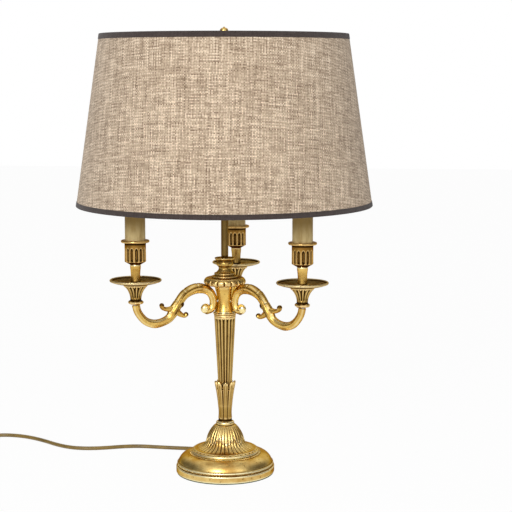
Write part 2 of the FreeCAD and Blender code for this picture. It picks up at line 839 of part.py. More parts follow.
def shade_carrier():
    bore = rod_radius + running_clearance
    top = spigot_level()
    low = top - carrier_height
    body = lathe(
        (bore, low), (carrier_radius - 1.0, low), (carrier_radius, low + 1.0), (carrier_radius, top - 1.0),
        (carrier_radius, top), (carrier_spigot_radius, top),
        (carrier_spigot_radius, top + carrier_spigot_height),
        (bore, top + carrier_spigot_height),
    )
    boss = cylinder(screw_boss_radius, *along_screw(rod_radius + 1.5, screw_boss_reach))
    boss = boss.cut(Part.makeCylinder(bore, carrier_height, Vector(0, 0, low)))
    screw_way = cylinder(screw_radius + running_clearance, *along_screw(0.0, screw_boss_reach + 2.0))
    return body.fuse(boss).cut(screw_way)


def thumb_screw():
    knob_near = screw_boss_reach + body_gap
    shank = cylinder(screw_radius, *along_screw(rod_radius + body_gap, knob_near + 1.0))
    knob = cylinder(screw_knob_radius, *along_screw(knob_near, knob_near + screw_knob_thickness))
    tip = cylinder(screw_knob_radius - 2.0, *along_screw(knob_near, knob_near + screw_knob_thickness + 1.5))
    grooves = []
    near, far = along_screw(knob_near - 1.0, knob_near + screw_knob_thickness + 1.0)
    for i in range(12):
        groove = moved(cylinder(0.7, near, far), z=screw_knob_radius + 0.2)
        grooves.append(turned(groove, 30.0 * i, near, far - near))
    return shank.fuse([knob.cut(grooves), tip])


# Shade

def shade_radius(height, inset=0.0):
    """Outer radius of the shade's fabric at a height, less an inset."""
    lean = (shade_bottom_radius - shade_top_radius) / shade_height
    return shade_bottom_radius - trim_thickness - inset - lean * (height - shade_bottom)


def shade_shell(outer_inset, inner_inset, low, high):
    return lathe(
        (shade_radius(low, inner_inset), low), (shade_radius(low, outer_inset), low),
        (shade_radius(high, outer_inset), high), (shade_radius(high, inner_inset), high),
    )


def shade_fabric():
    low = shade_bottom + trim_thickness
    high = shade_bottom + shade_height - trim_thickness
    return shade_shell(0.0, fabric_thickness, low, high)


def shade_liner():
    low = shade_bottom + trim_thickness
    high = shade_bottom + shade_height - trim_thickness
    return shade_shell(fabric_thickness, fabric_thickness + liner_thickness, low, high)


def edge_trim(edge, fold, free):
    """Tape folded round an edge: fold is where the fabric ends, free where the tape's two rims end."""
    shell = fabric_thickness + liner_thickness
    t = trim_thickness
    return lathe(
        (shade_radius(edge, -t), edge), (shade_radius(free, -t), free), (shade_radius(free), free),
        (shade_radius(fold), fold), (shade_radius(fold, shell), fold), (shade_radius(free, shell), free),
        (shade_radius(free, shell + t), free), (shade_radius(edge, shell + t), edge),
    )


def bottom_trim():
    return edge_trim(shade_bottom, shade_bottom + trim_thickness, shade_bottom + bottom_trim_height)


def top_trim():
    top = shade_bottom + shade_height
    return edge_trim(top, top - trim_thickness, top - top_trim_height)


def ring_radius(level):
    return shade_radius(level, fabric_thickness + liner_thickness + trim_thickness) - ring_wire_radius - 0.15


def bottom_wire():
    level = shade_bottom + ring_inset
    return Part.makeTorus(ring_radius(level), ring_wire_radius, Vector(0, 0, level))


def spider_ring():
    hub_low = spigot_level() + body_gap
    bore = carrier_spigot_radius + running_clearance
    hub = lathe(
        (bore, hub_low), (spider_hub_radius, hub_low), (spider_hub_radius, hub_low + spider_hub_height),
        (bore, hub_low + spider_hub_height),
    )
    level = shade_bottom + shade_height - ring_inset
    radius = ring_radius(level)
    ring = Part.makeTorus(radius, ring_wire_radius, Vector(0, 0, level))
    spoke_root = Vector(spider_hub_radius - 1.5, 0, hub_low + spider_hub_height / 2)
    spoke = cylinder(ring_wire_radius, spoke_root, Vector(radius, 0, level))
    return hub.fuse([ring] + ring_of(spoke, spoke_count, back_arm_angle))


# Cord and what is on it

def relief_line(near, far):
    way = Vector(math.cos(math.radians(cord_exit_angle)), math.sin(math.radians(cord_exit_angle)), 0)
    lift = Vector(0, 0, cord_exit_height)
    return way * near + lift, way * far + lift


def cord_relief():
    inner = foot_radius - foot_wall - 1.5
    start, end = relief_line(inner, foot_radius + relief_length)
    along = (end - start).normalize()
    root = foot_radius - inner
    body = cylinder(relief_root_radius, start, start + along * root)
    taper = Part.makeCone(relief_root_radius, relief_tip_radius, relief_length, start + along * root, along)
    bore = cylinder(cord_radius, start - along, end + along)
    return body.fuse(taper).cut(bore)


def inner_cord():
    """The cord's own lead inside the base: through the strain relief, under the ballast, up into the tube."""
    tip, near_axis = relief_line(foot_radius + relief_length, inner_cord_bend)
    middle = Vector(0, 0, cord_exit_height)
    back = (near_axis - middle).normalize()
    corner_depth = inner_cord_bend * (1 - math.sqrt(0.5))
    rise = Vector(0, 0, inner_cord_bend)
    bend = Part.Arc(near_axis, middle + back * corner_depth + UP * corner_depth, middle + rise).toShape()
    edges = [
        Part.LineSegment(tip, near_axis).toShape(), bend,
        Part.LineSegment(middle + rise, Vector(0, 0, stud_level - 8.0)).toShape(),
    ]
    return tube(edges, cord_radius, "inner cord")


def route_points():
    tip = foot_radius + relief_length
    return list(relief_line(tip, tip + cord_lead_out)) + [Vector(*p) for p in CORD_ROUTE]


def cord_to_switch():
    return tube(rounded_path(route_points(), "cord to switch"), cord_radius, "cord to switch")


def switch_ends():
    near = route_points()[-1]
    return near, near - Vector(0, switch_length, 0)


def link_points():
    start = switch_ends()[1]
    return [start] + [Vector(start.x, start.y - run, height) for run, height in LINK_DROP]


def cord_to_coil():
    return tube(rounded_path(link_points(), "cord to coil"), cord_radius, "cord to coil")


def biarc(p0, t0, p1, t1):
    """Two tangent arcs from p0 to p1 with the given end directions."""
    chord = p1 - p0
    both = t0 + t1
    slack = 2 * (1 - t0.dot(t1))
    reach = (math.sqrt(chord.dot(both) ** 2 + slack * chord.dot(chord)) - chord.dot(both)) / slack
    first = p0 + t0 * reach
    second = p1 - t1 * reach
    joint = (first + second) / 2
    return [corner_arc(p0, first, joint), corner_arc(joint, second, p1)]


def corner_arc(start, corner, end):
    half_turn = (math.pi - (start - corner).getAngle(end - corner)) / 2
    radius = (start - corner).Length / math.tan(half_turn)
    inward = ((start + end) / 2 - corner).normalize()
    return Part.Arc(start, corner + inward * (radius / math.cos(half_turn) - radius), end).toShape()


def coil_edges():
    """Turns wound clockwise: in along the lower layer, up in the innermost half turn, out along the upper."""
    start = link_points()[-1]
    low = start.z
    high = low + coil_layer_rise
    first = start - Vector(0, 2 * cord_radius, 0)
    centre = Vector(start.x - coil_outer_radius, first.y, 0)
    edges = [Part.LineSegment(start, first).toShape()]
    steps = 2 * coil_turns_per_layer
    radii = [coil_outer_radius - coil_pitch / 2 * i for i in range(steps + 1)]

    def half_turn(i, near, far, level):
        side = 1 if i % 2 == 0 else -1
        begin = centre + Vector(side * near, 0, level)
        end = centre + Vector(-side * far, 0, level)
        bulge = centre + Vector(side * (near - far) / 2, -side * (near + far) / 2, level)
        return Part.Arc(begin, bulge, end).toShape()

    for i in range(steps):
        edges.append(half_turn(i, radii[i], radii[i + 1], low))
    inner = radii[-1]
    middle = centre + Vector(0, -(inner - coil_pitch / 4), (low + high) / 2)
    climb = 2 * coil_layer_rise / (math.pi * inner)
    crossing = Vector(-1, 0, climb).normalize()
    edges += biarc(centre + Vector(inner, 0, low), Vector(0, -1, 0), middle, crossing)
    edges += biarc(middle, crossing, centre + Vector(-inner, 0, high), Vector(0, 1, 0))
    for i in range(steps):
        edges.append(half_turn(i + 1, radii[steps - i], radii[steps - i - 1], high))
    last = centre + Vector(-coil_outer_radius, 0, high)
    drop = high - plug_thickness / 2
    tail = [last, last + Vector(0, coil_tail_run, 0), last + Vector(0, 2 * coil_tail_run, -drop),
            last + Vector(0, 3 * coil_tail_run, -drop)]
    edges += rounded_path(tail, "coil tail")
    return edges


def least_gap(edges, diameter):
    """Least gap of a wound tube to itself, measured between points a millimetre or so apart."""
    points = []
    travelled = 0.0
    for edge in edges:
        count = max(2, int(edge.Length / 1.5))
        for i in range(count):
            t = edge.FirstParameter + (edge.LastParameter - edge.FirstParameter) * i / count
            points.append((travelled + edge.Length * i / count, edge.valueAt(t)))
        travelled += edge.Length
    least = diameter * 10
    for i, (along, point) in enumerate(points):
        for further, other in points[i + 1:]:
            if further - along > 6 * diameter:
                least = min(least, point.distanceToPoint(other))
    return least - diameter


def cord_coil():
    edges = coil_edges()
    print("coil gap to itself", round(least_gap(edges, 2 * cord_radius), 3))
    return tube(edges, cord_radius, "cord coil")


def rounded_block(length, width, low, high, corner):
    block = Part.makeBox(width, length, high - low, Vector(-width / 2, -length, low))
    upright = [e for e in block.Edges if abs(e.tangentAt(0).z) > 0.9]
    return block.makeFillet(corner, upright)


def switch_shells():
    """Lower and upper halves of the switch, with a way for the cord at each end and a window on top."""
    near, _ = switch_ends()
    split = near.z
    w = switch_wall
    corner = switch_width * 0.3
    outer = rounded_block(switch_length, switch_width, 0.0, switch_height, corner)
    hollow = rounded_block(switch_length - 6 * w, switch_width - 2 * w, w, switch_height - w, corner * 0.6)
    hollow = moved(hollow, y=-3 * w)
    cord_way = Part.makeCylinder(cord_radius, switch_length + 4, Vector(0, 2, split), Vector(0, -1, 0))
    middle = -switch_length / 2
    window = Part.makeBox(
        rocker_width + 2 * body_gap, rocker_length + 2 * body_gap, switch_height,
        Vector(-rocker_width / 2 - body_gap, middle - rocker_length / 2 - body_gap, split + 1.0),
    )
    cheek_x = rocker_width / 2 + body_gap
    cheek_low = rocker_axis_height() - rocker_pin_radius - 1.5
    cheek_corner = Vector(cheek_x, middle - cheek_length / 2, cheek_low)
    cheek_sides = (switch_width / 2 - w - cheek_x, cheek_length, switch_height - w - cheek_low)
    cheek = Part.makeBox(*cheek_sides, cheek_corner)
    cheeks = [cheek, moved(cheek, x=-(cheek_x + switch_width / 2 - w))]
    pin_way = Part.makeCylinder(
        rocker_pin_radius + running_clearance, switch_width - 2 * w,
        Vector(-switch_width / 2 + w, middle, rocker_axis_height()), Vector(1, 0, 0),
    )
    shell = outer.cut(hollow)
    half_corner = Vector(-switch_width, -1.5 * switch_length, 0)
    lower_half = Part.makeBox(2 * switch_width, 2 * switch_length, split, half_corner)
    lower = shell.common(lower_half).cut(cord_way)
    upper = shell.cut(lower_half).fuse(cheeks).cut([cord_way, window, pin_way])
    return [moved(half, x=near.x, y=near.y) for half in (lower, upper)]


def rocker_axis_height():
    return switch_height - 3.6


def switch_rocker():
    near, _ = switch_ends()
    middle = near.y - switch_length / 2
    axis_height = rocker_axis_height()
    half = rocker_length / 2
    top_half = half - 1.1
    crown = switch_height + 1.4
    rise = top_half * math.tan(math.radians(rocker_tilt))
    side = [
        (-top_half, crown + rise), (0, crown), (top_half, crown + rise), (half - 0.6, axis_height - 0.6),
        (half * 0.5, axis_height - 2.2), (-half * 0.5, axis_height - 2.2), (-half + 0.6, axis_height - 0.6),
    ]
    points = [Vector(-rocker_width / 2, y, z) for y, z in side]
    body = Part.Face(Part.makePolygon(points + points[:1])).extrude(Vector(rocker_width, 0, 0))
    pin_half = switch_width / 2 - switch_wall - body_gap
    pin = cylinder(rocker_pin_radius, Vector(-pin_half, 0, axis_height), Vector(pin_half, 0, axis_height))
    rocker = turned(body.fuse(pin), -rocker_tilt, Vector(0, 0, axis_height), Vector(1, 0, 0))
    return moved(rocker, x=near.x, y=middle)


def plug_start():
    edges = coil_edges()
    return edges[-1].valueAt(edges[-1].LastParameter)


def plug_body():
    """Flat two-pin plug: a six-sided section that widens from the cord to the pins."""
    start = plug_start()
    sections = []
    spans = (
        (0.0, plug_neck_width, plug_thickness * 0.8), (plug_length * 0.42, plug_width * 0.86, plug_thickness),
        (plug_length, plug_width, plug_thickness),
    )
    for along, width, thick in spans:
        half = width / 2
        flat = half - thick * 0.42
        up = thick / 2
        corners = ((-half, 0), (-flat, up), (flat, up), (half, 0), (flat, -up), (-flat, -up))
        points = [Vector(x, along, z) for x, z in corners]
        sections.append(Part.makePolygon(points + points[:1]))
    body = Part.makeLoft(sections, True, True)
    for x in (-pin_spacing / 2, pin_spacing / 2):
        hole = cylinder(pin_root_radius, Vector(x, plug_length - pin_root, 0), Vector(x, plug_length + 1, 0))
        body = body.cut(hole)
    return moved(body, x=start.x, y=start.y, z=start.z)


def plug_pins():
    start = plug_start()
    pins = []
    for x in (-pin_spacing / 2, pin_spacing / 2):
        face = Vector(start.x + x, start.y + plug_length, start.z)
        step = face + Vector(0, pin_root_step, 0)
        end = face + Vector(0, pin_length - pin_radius, 0)
        root = cylinder(pin_root_radius, face - Vector(0, pin_root, 0), step)
        shank = cylinder(pin_radius, step, end)
        pins.append(root.fuse([shank, Part.makeSphere(pin_radius, end)]))
    return pins


# All pieces, by name

def all_pieces():
    lower_shell, upper_shell = switch_shells()
    pieces = {
        "base_foot": base_foot(), "base_dome": base_dome(), "ballast_ring": ballast_ring(),
        "felt_pad": felt_pad(), "tie_tube": tie_tube(), "tie_nuts": tie_nuts(), "leaf_cup": leaf_cup(),
        "fluted_shaft": fluted_shaft(), "shaft_collar": shaft_collar(), "arm_hub": arm_hub(),
        "lobed_cap": lobed_cap(), "cap_crown": cap_crown(),
        "rod_dish": rod_dish(), "arm_fixings": arm_fixings(), "arm_wires": arm_wires(),
        "lamp_holders": lamp_holders(), "shade_rod": shade_rod(), "finial": finial(),
        "shade_carrier": shade_carrier(), "thumb_screw": thumb_screw(), "spider_ring": spider_ring(),
        "bottom_wire": bottom_wire(), "shade_liner": shade_liner(), "shade_fabric": shade_fabric(),
        "bottom_trim": bottom_trim(), "top_trim": top_trim(), "cord_relief": cord_relief(),
        "inner_cord": inner_cord(), "cord_to_switch": cord_to_switch(), "switch_base": lower_shell,
        "switch_cover": upper_shell, "switch_rocker": switch_rocker(), "cord_to_coil": cord_to_coil(),
        "cord_coil": cord_coil(), "plug_body": plug_body(), "plug_pins": plug_pins(),
    }
    arm = arm_blank()
    ends = {
        "ribbed_cup": ribbed_cup(), "drip_pan": drip_pan(), "cup_stem": cup_stem(),
        "candle_cup": candle_cup(),
        "candle_sleeve": candle_sleeve(), "bulb_cap": bulb_cap(), "bulb_glass": bulb_glass(),
    }
    for number, angle in enumerate(arm_angles(), 1):
        pieces[f"arm_{number}"] = turned(arm, angle)
        for name, shape in ends.items():
            pieces[f"{name}_{number}"] = at_arm_end(shape, angle)
    return pieces


def write_all():
    os.makedirs("parts", exist_ok=True)
    for name, shape in all_pieces().items():
        if isinstance(shape, list):
            shape = Part.makeCompound(shape)
        solids = shape.Solids
        print(name, "solids", len(solids), "valid", shape.isValid(), "volume", round(shape.Volume))
        if len(solids) == 1:
            shape = solids[0]
        shape.exportStep(f"parts/{name}.step")


write_all()
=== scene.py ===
import math

import bmesh
import bpy
import numpy as np
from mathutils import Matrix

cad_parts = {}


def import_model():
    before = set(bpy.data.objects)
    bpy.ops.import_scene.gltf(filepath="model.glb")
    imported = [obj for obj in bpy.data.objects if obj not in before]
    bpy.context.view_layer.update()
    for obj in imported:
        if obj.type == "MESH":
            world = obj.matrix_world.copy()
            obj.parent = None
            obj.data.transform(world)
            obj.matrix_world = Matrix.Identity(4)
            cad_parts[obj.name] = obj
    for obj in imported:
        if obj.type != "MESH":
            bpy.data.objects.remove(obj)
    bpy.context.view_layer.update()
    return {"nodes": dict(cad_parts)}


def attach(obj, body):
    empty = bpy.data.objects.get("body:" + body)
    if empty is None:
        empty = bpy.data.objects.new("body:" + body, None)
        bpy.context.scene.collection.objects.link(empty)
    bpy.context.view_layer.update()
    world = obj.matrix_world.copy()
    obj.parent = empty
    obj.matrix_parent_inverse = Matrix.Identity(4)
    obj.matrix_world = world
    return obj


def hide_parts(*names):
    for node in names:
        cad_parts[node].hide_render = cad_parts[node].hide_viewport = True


# Bouillotte lamp. Sizes below are millimetres, as in the frame; meshes are made in metres.

MM = 0.001
WHITE = (1.0, 1.0, 1.0, 1.0)

# Camera, light and floor: metres, degrees and watts
CAMERA_PLACE = (0.2504, -1.9112, 0.5557)
CAMERA_DOWN = 7.534
CAMERA_LEFT = 6.2
CAMERA_LENS = 100.52
LAMP_AIM = (0.0, 0.0, 0.30)
KEY_POWER = 46.0
FILL_POWER = 6.0
WORLD_LIGHT = 0.5
SIDE_LEVEL = 0.12
FLOOR_HALF = 6.0
FLOOR_GLOW = 0.95

# Directions round the column, in degrees: the arms, and the leaf that faces the photograph
ARM_ANGLES = (90.0, 210.0, 330.0)
# The far arm, behind the column, gets painted shade: its stem takes the darker olive gilt.
FAR_ARM = 1
FRONT = math.radians(-79.0)

# Base
FELT = 1.2
FOOT_R = 67.8
FOOT_WALL = 9.0
BEAD_R = 66.3
BAND_R = 65.5
FOOT_TOP = 28.7
DOME_EDGE_R = 46.6
FLARE_R = 43.0
DOME_R = 25.9
SHOULDER_R = 15.4
NECK_R = 12.6
DOME_H = 42.8
FLARE_FLUTES = 36
LEAVES = 8
LEAF_RIBS = 32

# Column
CALYX_Z = 71.5
CALYX_H = 55.5
CALYX_TIP_R = 13.6
LEAF_CUP = 13.0
LEAF_NOTCH = 5.5
SHAFT_Z = 127.0
SHAFT_FOOT_R = 9.6
SHAFT_TOP_R = 14.2
SHAFT_FLUTES = 16
COLLAR_Z = 218.5
HUB_Z = 223.6
HUB_WAIST_R = 11.0
CAP_Z = 261.0
CAP_R = 28.9
CAP_LOBES = 18
CROWN_Z = 272.0
CROWN_R = 17.8
CROWN_RING_R = 14.5
DISH_Z = 281.2
ROD_Z = 299.0
ROD_R = 4.9
ROD_TOP = 598.0
TUBE_BORE = 5.15

# Arm ends
REACH = 128.0
ARM_END_Z = 243.2
KNOP_R = 9.9
KNOP_H = 5.3
PAN_Z = 270.0
PAN_R = 34.5
PAN_DEPTH = 7.0
RIBBED_R = 16.2
RIBS = 14
CUP_FLUTES = 14
STEM_Z = 271.8
CUP_Z = 296.4
CUP_R = 14.1
CUP_H = 29.6
CUP_RIM_R = 18.9
CUP_RIM_H = 3.0
SLEEVE_Z = 327.0
SLEEVE_TOP = 414.5
SLEEVE_R = 13.5
SLEEVE_WALL = 1.3
END_BORE = 3.1
CUP_BORE = 10.4

# Shade
SHADE_BOTTOM = 370.8
SHADE_HEIGHT = 228.8
SHADE_BOTTOM_R = 200.0
SHADE_TOP_R = 166.5
CLOTH = 0.7
LINER = 0.7
TAPE = 0.6
BOTTOM_TAPE = 6.8
TOP_TAPE = 7.6
SHADE_LEAN = (SHADE_BOTTOM_R - SHADE_TOP_R) / SHADE_HEIGHT
UV_RAISE = 1.5
LINEN_PITCH = 0.0018
TAPE_PITCH = 0.0009

# Finishes: the tones of metal and of threads, and how gilt and brass reflect at a grazing angle
# The first metal tone, on ridges, is worn gilt and a painted highlight; the last, in hollows, is patina and
# painted shade.
TONES = ("Wear_and_highlight", "Gold", "Amber", "Brown")
THREADS = ("Light", "Middle", "Dark")
WARM_EDGE = (0.42, 0.26, 0.10, 1.0)

# Cord, in millimetres: its route on the table, from the strain relief to the switch, as in the frame
CORD_R = 2.75
RELIEF_TIP = (-43.9, 76.04, 5.6)
RELIEF_AHEAD = (-50.9, 88.16, 5.6)
CORD_ROUTE = [
    (-63.0, 98.5, 3.6), (-83.0, 102.0, 2.75), (-112.0, 104.0, 2.75),
    (-141.0, 107.0, 2.75), (-166.0, 101.5, 2.75), (-190.0, 91.0, 2.75), (-215.0, 85.0, 2.75),
    (-240.0, 87.5, 2.75), (-264.0, 101.0, 2.75), (-288.0, 121.5, 2.75), (-314.0, 138.5, 2.75),
    (-340.0, 147.5, 2.75), (-363.0, 147.0, 2.75), (-381.0, 137.0, 2.75), (-391.0, 119.0, 2.75),
    (-394.0, 101.0, 2.75), (-394.0, 83.5, 7.5), (-394.0, 66.0, 7.5), (-394.0, 6.0, 7.5),
    (-394.0, -8.0, 7.5), (-394.0, -26.0, 2.75), (-394.0, -38.0, 2.75),
]
COIL_CENTRE = (-434.0, -45.5)
COIL_OUTER_R = 40.0
COIL_PITCH = 6.0
COIL_TURNS = 3
COIL_STEPS = 16
COIL_LOW = 2.75
COIL_HIGH = 8.7
COIL_HALF_RISE = 0.5
COIL_SQUEEZE = 1.5
COIL_SWELL = 1.019
CORD_TAIL = [(-474.0, -25.5, 8.7), (-474.0, -5.5, 6.85), (-474.0, 14.5, 6.85)]


# Making the camera, lights and floor

def in_scene(name, data):
    """A new object in the scene that holds this data."""
    thing = bpy.data.objects.new(name, data)
    bpy.context.scene.collection.objects.link(thing)
    return thing


def make_camera():
    data = bpy.data.cameras.new("camera")
    data.sensor_width = 36.0
    data.lens = CAMERA_LENS
    data.clip_end = 20.0
    camera = in_scene("camera", data)
    camera.location = CAMERA_PLACE
    camera.rotation_euler = (math.radians(90.0 - CAMERA_DOWN), 0.0, math.radians(CAMERA_LEFT))
    bpy.context.scene.camera = camera


def soft_light(name, place, size, power):
    """A rectangular lamp that points at the middle of the object."""
    data = bpy.data.lights.new(name, "AREA")
    data.shape = "RECTANGLE"
    data.size, data.size_y = size
    data.energy = power
    lamp = in_scene(name, data)
    lamp.location = place
    x, y, z = np.array(LAMP_AIM) - np.array(place)
    lamp.rotation_euler = (math.atan2(math.hypot(x, y), -z), 0.0, math.atan2(-x, y))


def make_studio():
    bpy.context.scene.view_settings.view_transform = "Standard"
    soft_light("key_light", (-0.5, -2.8, 1.5), (1.0, 1.2), KEY_POWER)
    soft_light("fill_light", (1.9, -1.7, 1.2), (1.0, 1.6), FILL_POWER)
    world = bpy.data.worlds.new("studio")
    bpy.context.scene.world = world
    world.use_nodes = True
    tree = world.node_tree
    tree.nodes.clear()
    seen = add(tree, "ShaderNodeBackground", inputs={"Color": WHITE, "Strength": dim_sides(tree)})
    lit = add(tree, "ShaderNodeBackground", inputs={"Color": WHITE, "Strength": WORLD_LIGHT})
    mix = add(tree, "ShaderNodeMixShader", inputs={
        0: seen_by_eye_or_mirror(tree), 1: lit.outputs[0], 2: seen.outputs[0],
    })
    add(tree, "ShaderNodeOutputWorld", inputs={"Surface": mix.outputs[0]})


def dim_sides(tree):
    """How bright the world looks: white to the eye and to glass; metal sees it fall off to either side."""
    direction = add(tree, "ShaderNodeTexCoord").outputs["Generated"]
    across = add(tree, "ShaderNodeSeparateXYZ", inputs={"Vector": direction}).outputs["X"]
    dim = ramp(tree, work(tree, "ABSOLUTE", across), 0.44, 0.82, 1.0, SIDE_LEVEL)
    glossy = add(tree, "ShaderNodeLightPath").outputs["Is Glossy Ray"]
    return work(tree, "ADD", work(tree, "MULTIPLY", dim, glossy), work(tree, "SUBTRACT", 1.0, glossy))


def seen_by_eye_or_mirror(tree):
    """A socket that is 1 for camera, glossy and transmission rays."""
    path = add(tree, "ShaderNodeLightPath").outputs
    shown = work(tree, "MAXIMUM", path["Is Camera Ray"], path["Is Glossy Ray"])
    return work(tree, "MAXIMUM", shown, path["Is Transmission Ray"])


def make_floor():
    mesh = bpy.data.meshes.new("floor")
    corners = [(x * FLOOR_HALF, y * FLOOR_HALF, 0) for x, y in ((-1, -1), (1, -1), (1, 1), (-1, 1))]
    mesh.from_pydata(corners, [], [(0, 1, 2, 3)])
    floor = in_scene("floor", mesh)
    material, tree, surface = new_material("pale_floor", {
        "Base Color": WHITE, "Roughness": 1.0, "Specular IOR Level": 0.0,
    })
    glow = add(tree, "ShaderNodeEmission", inputs={"Color": WHITE, "Strength": 1.0})
    mix = add(tree, "ShaderNodeMixShader", inputs={
        0: work(tree, "MULTIPLY", seen_by_eye_or_mirror(tree), FLOOR_GLOW),
        1: surface.outputs[0], 2: glow.outputs[0],
    })
    tree.links.new(mix.outputs[0], tree.nodes["Material Output"].inputs["Surface"])
    mesh.materials.append(material)


# Meshes

def finish_mesh(name, points, faces, material, smooth_angle=40.0):
    mesh = bpy.data.meshes.new(name)
    mesh.from_pydata((np.asarray(points) * MM).tolist(), [], faces.tolist())
    joined = bmesh.new()
    joined.from_mesh(mesh)
    bmesh.ops.remove_doubles(joined, verts=joined.verts, dist=1e-6)
    joined.to_mesh(mesh)
    joined.free()
    mesh.materials.append(material)
    mesh.shade_smooth()
    mesh.set_sharp_from_angle(angle=math.radians(smooth_angle))
    return in_scene(name, mesh)


def quads(rows, columns, row_ring=True, column_ring=True):
    """Faces of a grid of points whose rows or columns may close into a ring."""
    row = np.arange(rows if row_ring else rows - 1)[:, None]
    column = np.arange(columns if column_ring else columns - 1)[None, :]
    next_row, next_column = (row + 1) % rows, (column + 1) % columns
    return np.stack([
        row * columns + column, next_row * columns + column,
        next_row * columns + next_column, row * columns + next_column,
    ], axis=2).reshape(-1, 4)


def outline(start, *steps, step=0.7, soften=1):
    """Points along a profile of (radius, height); a pair of points is an arc through the first."""
    points = [np.array(start, float)]
    for target in steps:
        here = points[-1]
        if isinstance(target[0], tuple):
            points += arc_points(here, np.array(target[0]), np.array(target[1]), step)
        else:
            end = np.array(target, float)
            count = max(1, round(float(np.linalg.norm(end - here)) / step))
            points += [here + (end - here) * (i + 1) / count for i in range(count)]
    points = np.array(points)
    for _ in range(soften):
        points[1:-1] = (points[:-2] + 2 * points[1:-1] + points[2:]) / 4
    return points


def arc_points(start, middle, end, step):
    """Points after start along the circle through three points."""
    a, b = middle - start, end - start
    cross = 2 * (a[0] * b[1] - a[1] * b[0])
    if abs(cross) < 1e-6:
        return [middle, end]
    offset = np.array([b[1] * (a @ a) - a[1] * (b @ b), a[0] * (b @ b) - b[0] * (a @ a)]) / cross
    centre = start + offset
    first = math.atan2(*(start - centre)[::-1])
    turn = math.atan2(*(end - centre)[::-1]) - first
    bend = math.atan2(*(middle - centre)[::-1]) - first
    full = 2 * math.pi
    turn, bend = turn % full, bend % full
    if bend > turn:
        turn -= full
    radius = float(np.linalg.norm(offset))
    count = max(2, round(abs(turn) * radius / step))
    angles = first + turn * np.arange(1, count + 1) / count
    return [centre + radius * np.array([math.cos(t), math.sin(t)]) for t in angles]


def turn(name, profile, inside, segments, material, relief=None, shape=None, place=None,
         smooth_angle=40.0):
    """Turn a profile about Z. It goes up its outer side, or comes down its inner side; inside closes it.
    relief(theta, r, z) raises the surface, shape(theta, r, z) moves its points, place is an arm's angle."""
    ring = np.vstack([profile, np.array(inside, float)]) if inside else profile
    closed = bool(inside)
    ahead = np.roll(ring, -1, axis=0) - np.roll(ring, 1, axis=0)
    if not closed:
        ahead[0] = ring[1] - ring[0]
        ahead[-1] = ring[-1] - ring[-2]
    ahead /= np.maximum(np.linalg.norm(ahead, axis=1, keepdims=True), 1e-9)
    out_r, out_z = ahead[:, 1], -ahead[:, 0]
    theta = np.repeat((np.arange(segments) * 2 * math.pi / segments)[:, None], len(ring), axis=1)
    r = np.repeat(ring[None, :, 0], segments, axis=0)
    z = np.repeat(ring[None, :, 1], segments, axis=0)
    if relief:
        raised = relief(theta, r, z)
        raised[:, len(profile):] = 0.0
        r, z = r + raised * out_r, z + raised * out_z
    if shape:
        r, z = shape(theta, r, z)
    points = np.stack([r * np.cos(theta), r * np.sin(theta), z], axis=2).reshape(-1, 3)
    if place is not None:
        points = at_arm_end(points, place)
    return finish_mesh(name, points, quads(segments, len(ring), column_ring=closed), material, smooth_angle)


def at_arm_end(points, degrees):
    """Move points made about Z to the axis of the arm end at this angle."""
    return about_column(points + np.array([REACH, 0.0, 0.0]), degrees)


def about_column(points, degrees):
    c, s = math.cos(math.radians(degrees)), math.sin(math.radians(degrees))
    x, y, z = points.T
    return np.stack([x * c - y * s, x * s + y * c, z], axis=1)


def mark_hollows(piece, passes, depth):
    """Store how far each point lies under its neighbourhood: 1 in a hollow, -1 on a ridge."""
    mesh = piece.data
    count = len(mesh.vertices)
    place = np.empty(count * 3)
    mesh.vertices.foreach_get("co", place)
    place = place.reshape(-1, 3) / MM
    ends = np.empty(len(mesh.edges) * 2, int)
    mesh.edges.foreach_get("vertices", ends)
    a, b = ends.reshape(-1, 2).T
    near = np.bincount(a, minlength=count) + np.bincount(b, minlength=count)
    even = place.copy()
    for _ in range(passes):
        total = np.stack([
            np.bincount(a, even[b, k], count) + np.bincount(b, even[a, k], count) for k in range(3)
        ], axis=1)
        even = 0.5 * even + 0.5 * total / near[:, None]
    normal = np.empty(count * 3)
    mesh.vertex_normals.foreach_get("vector", normal)
    hollow = ((even - place) * normal.reshape(-1, 3)).sum(axis=1)
    hollow = np.clip((hollow - np.median(hollow)) / depth, -1.0, 1.0)
    attribute = mesh.attributes.new("hollow", "FLOAT", "POINT")
    attribute.data.foreach_set("value", hollow.astype(np.float32))
    return piece


# Shapes of the carving

def part_of(theta, count, front=FRONT):
    """Place across each of count equal parts: 0 in its middle, -1 and 1 at its ends."""
    turns = (theta - front) * count / (2 * math.pi) + 0.5
    return 2 * (turns - np.floor(turns)) - 1


def hump(x, width):
    return np.exp(-(x / width) ** 2)


def ease(x, low, high):
    t = np.clip((x - low) / (high - low), 0.0, 1.0)
    return t * t * (3 - 2 * t)


def between(x, low, high, soft):
    return ease(x, low - soft, low + soft) * (1 - ease(x, high - soft, high + soft))


# Materials

def add(tree, kind, settings=None, inputs=None):
    node = tree.nodes.new(kind)
    for key, value in (settings or {}).items():
        setattr(node, key, value)
    for key, value in (inputs or {}).items():
        if isinstance(value, bpy.types.NodeSocket):
            tree.links.new(value, node.inputs[key])
        else:
            node.inputs[key].default_value = value
    return node


def ramp(tree, value, start, end, low=0.0, high=1.0):
    """From low at the start to high at the end."""
    node = add(tree, "ShaderNodeValToRGB", inputs={"Fac": value})
    for element, place, level in zip(node.color_ramp.elements, (start, end), (low, high)):
        element.position = place
        element.color = (level, level, level, 1.0)
    return node.outputs["Color"]


def blend_colours(tree, amount, first, second):
    """The second colour over the first by an amount from 0 to 1."""
    return add(tree, "ShaderNodeMix", {"data_type": "RGBA"}, {0: amount, 6: first, 7: second}).outputs[2]


def work(tree, how, first, second=0.0, third=0.0):
    return add(tree, "ShaderNodeMath", {"operation": how}, {0: first, 1: second, 2: third}).outputs[0]


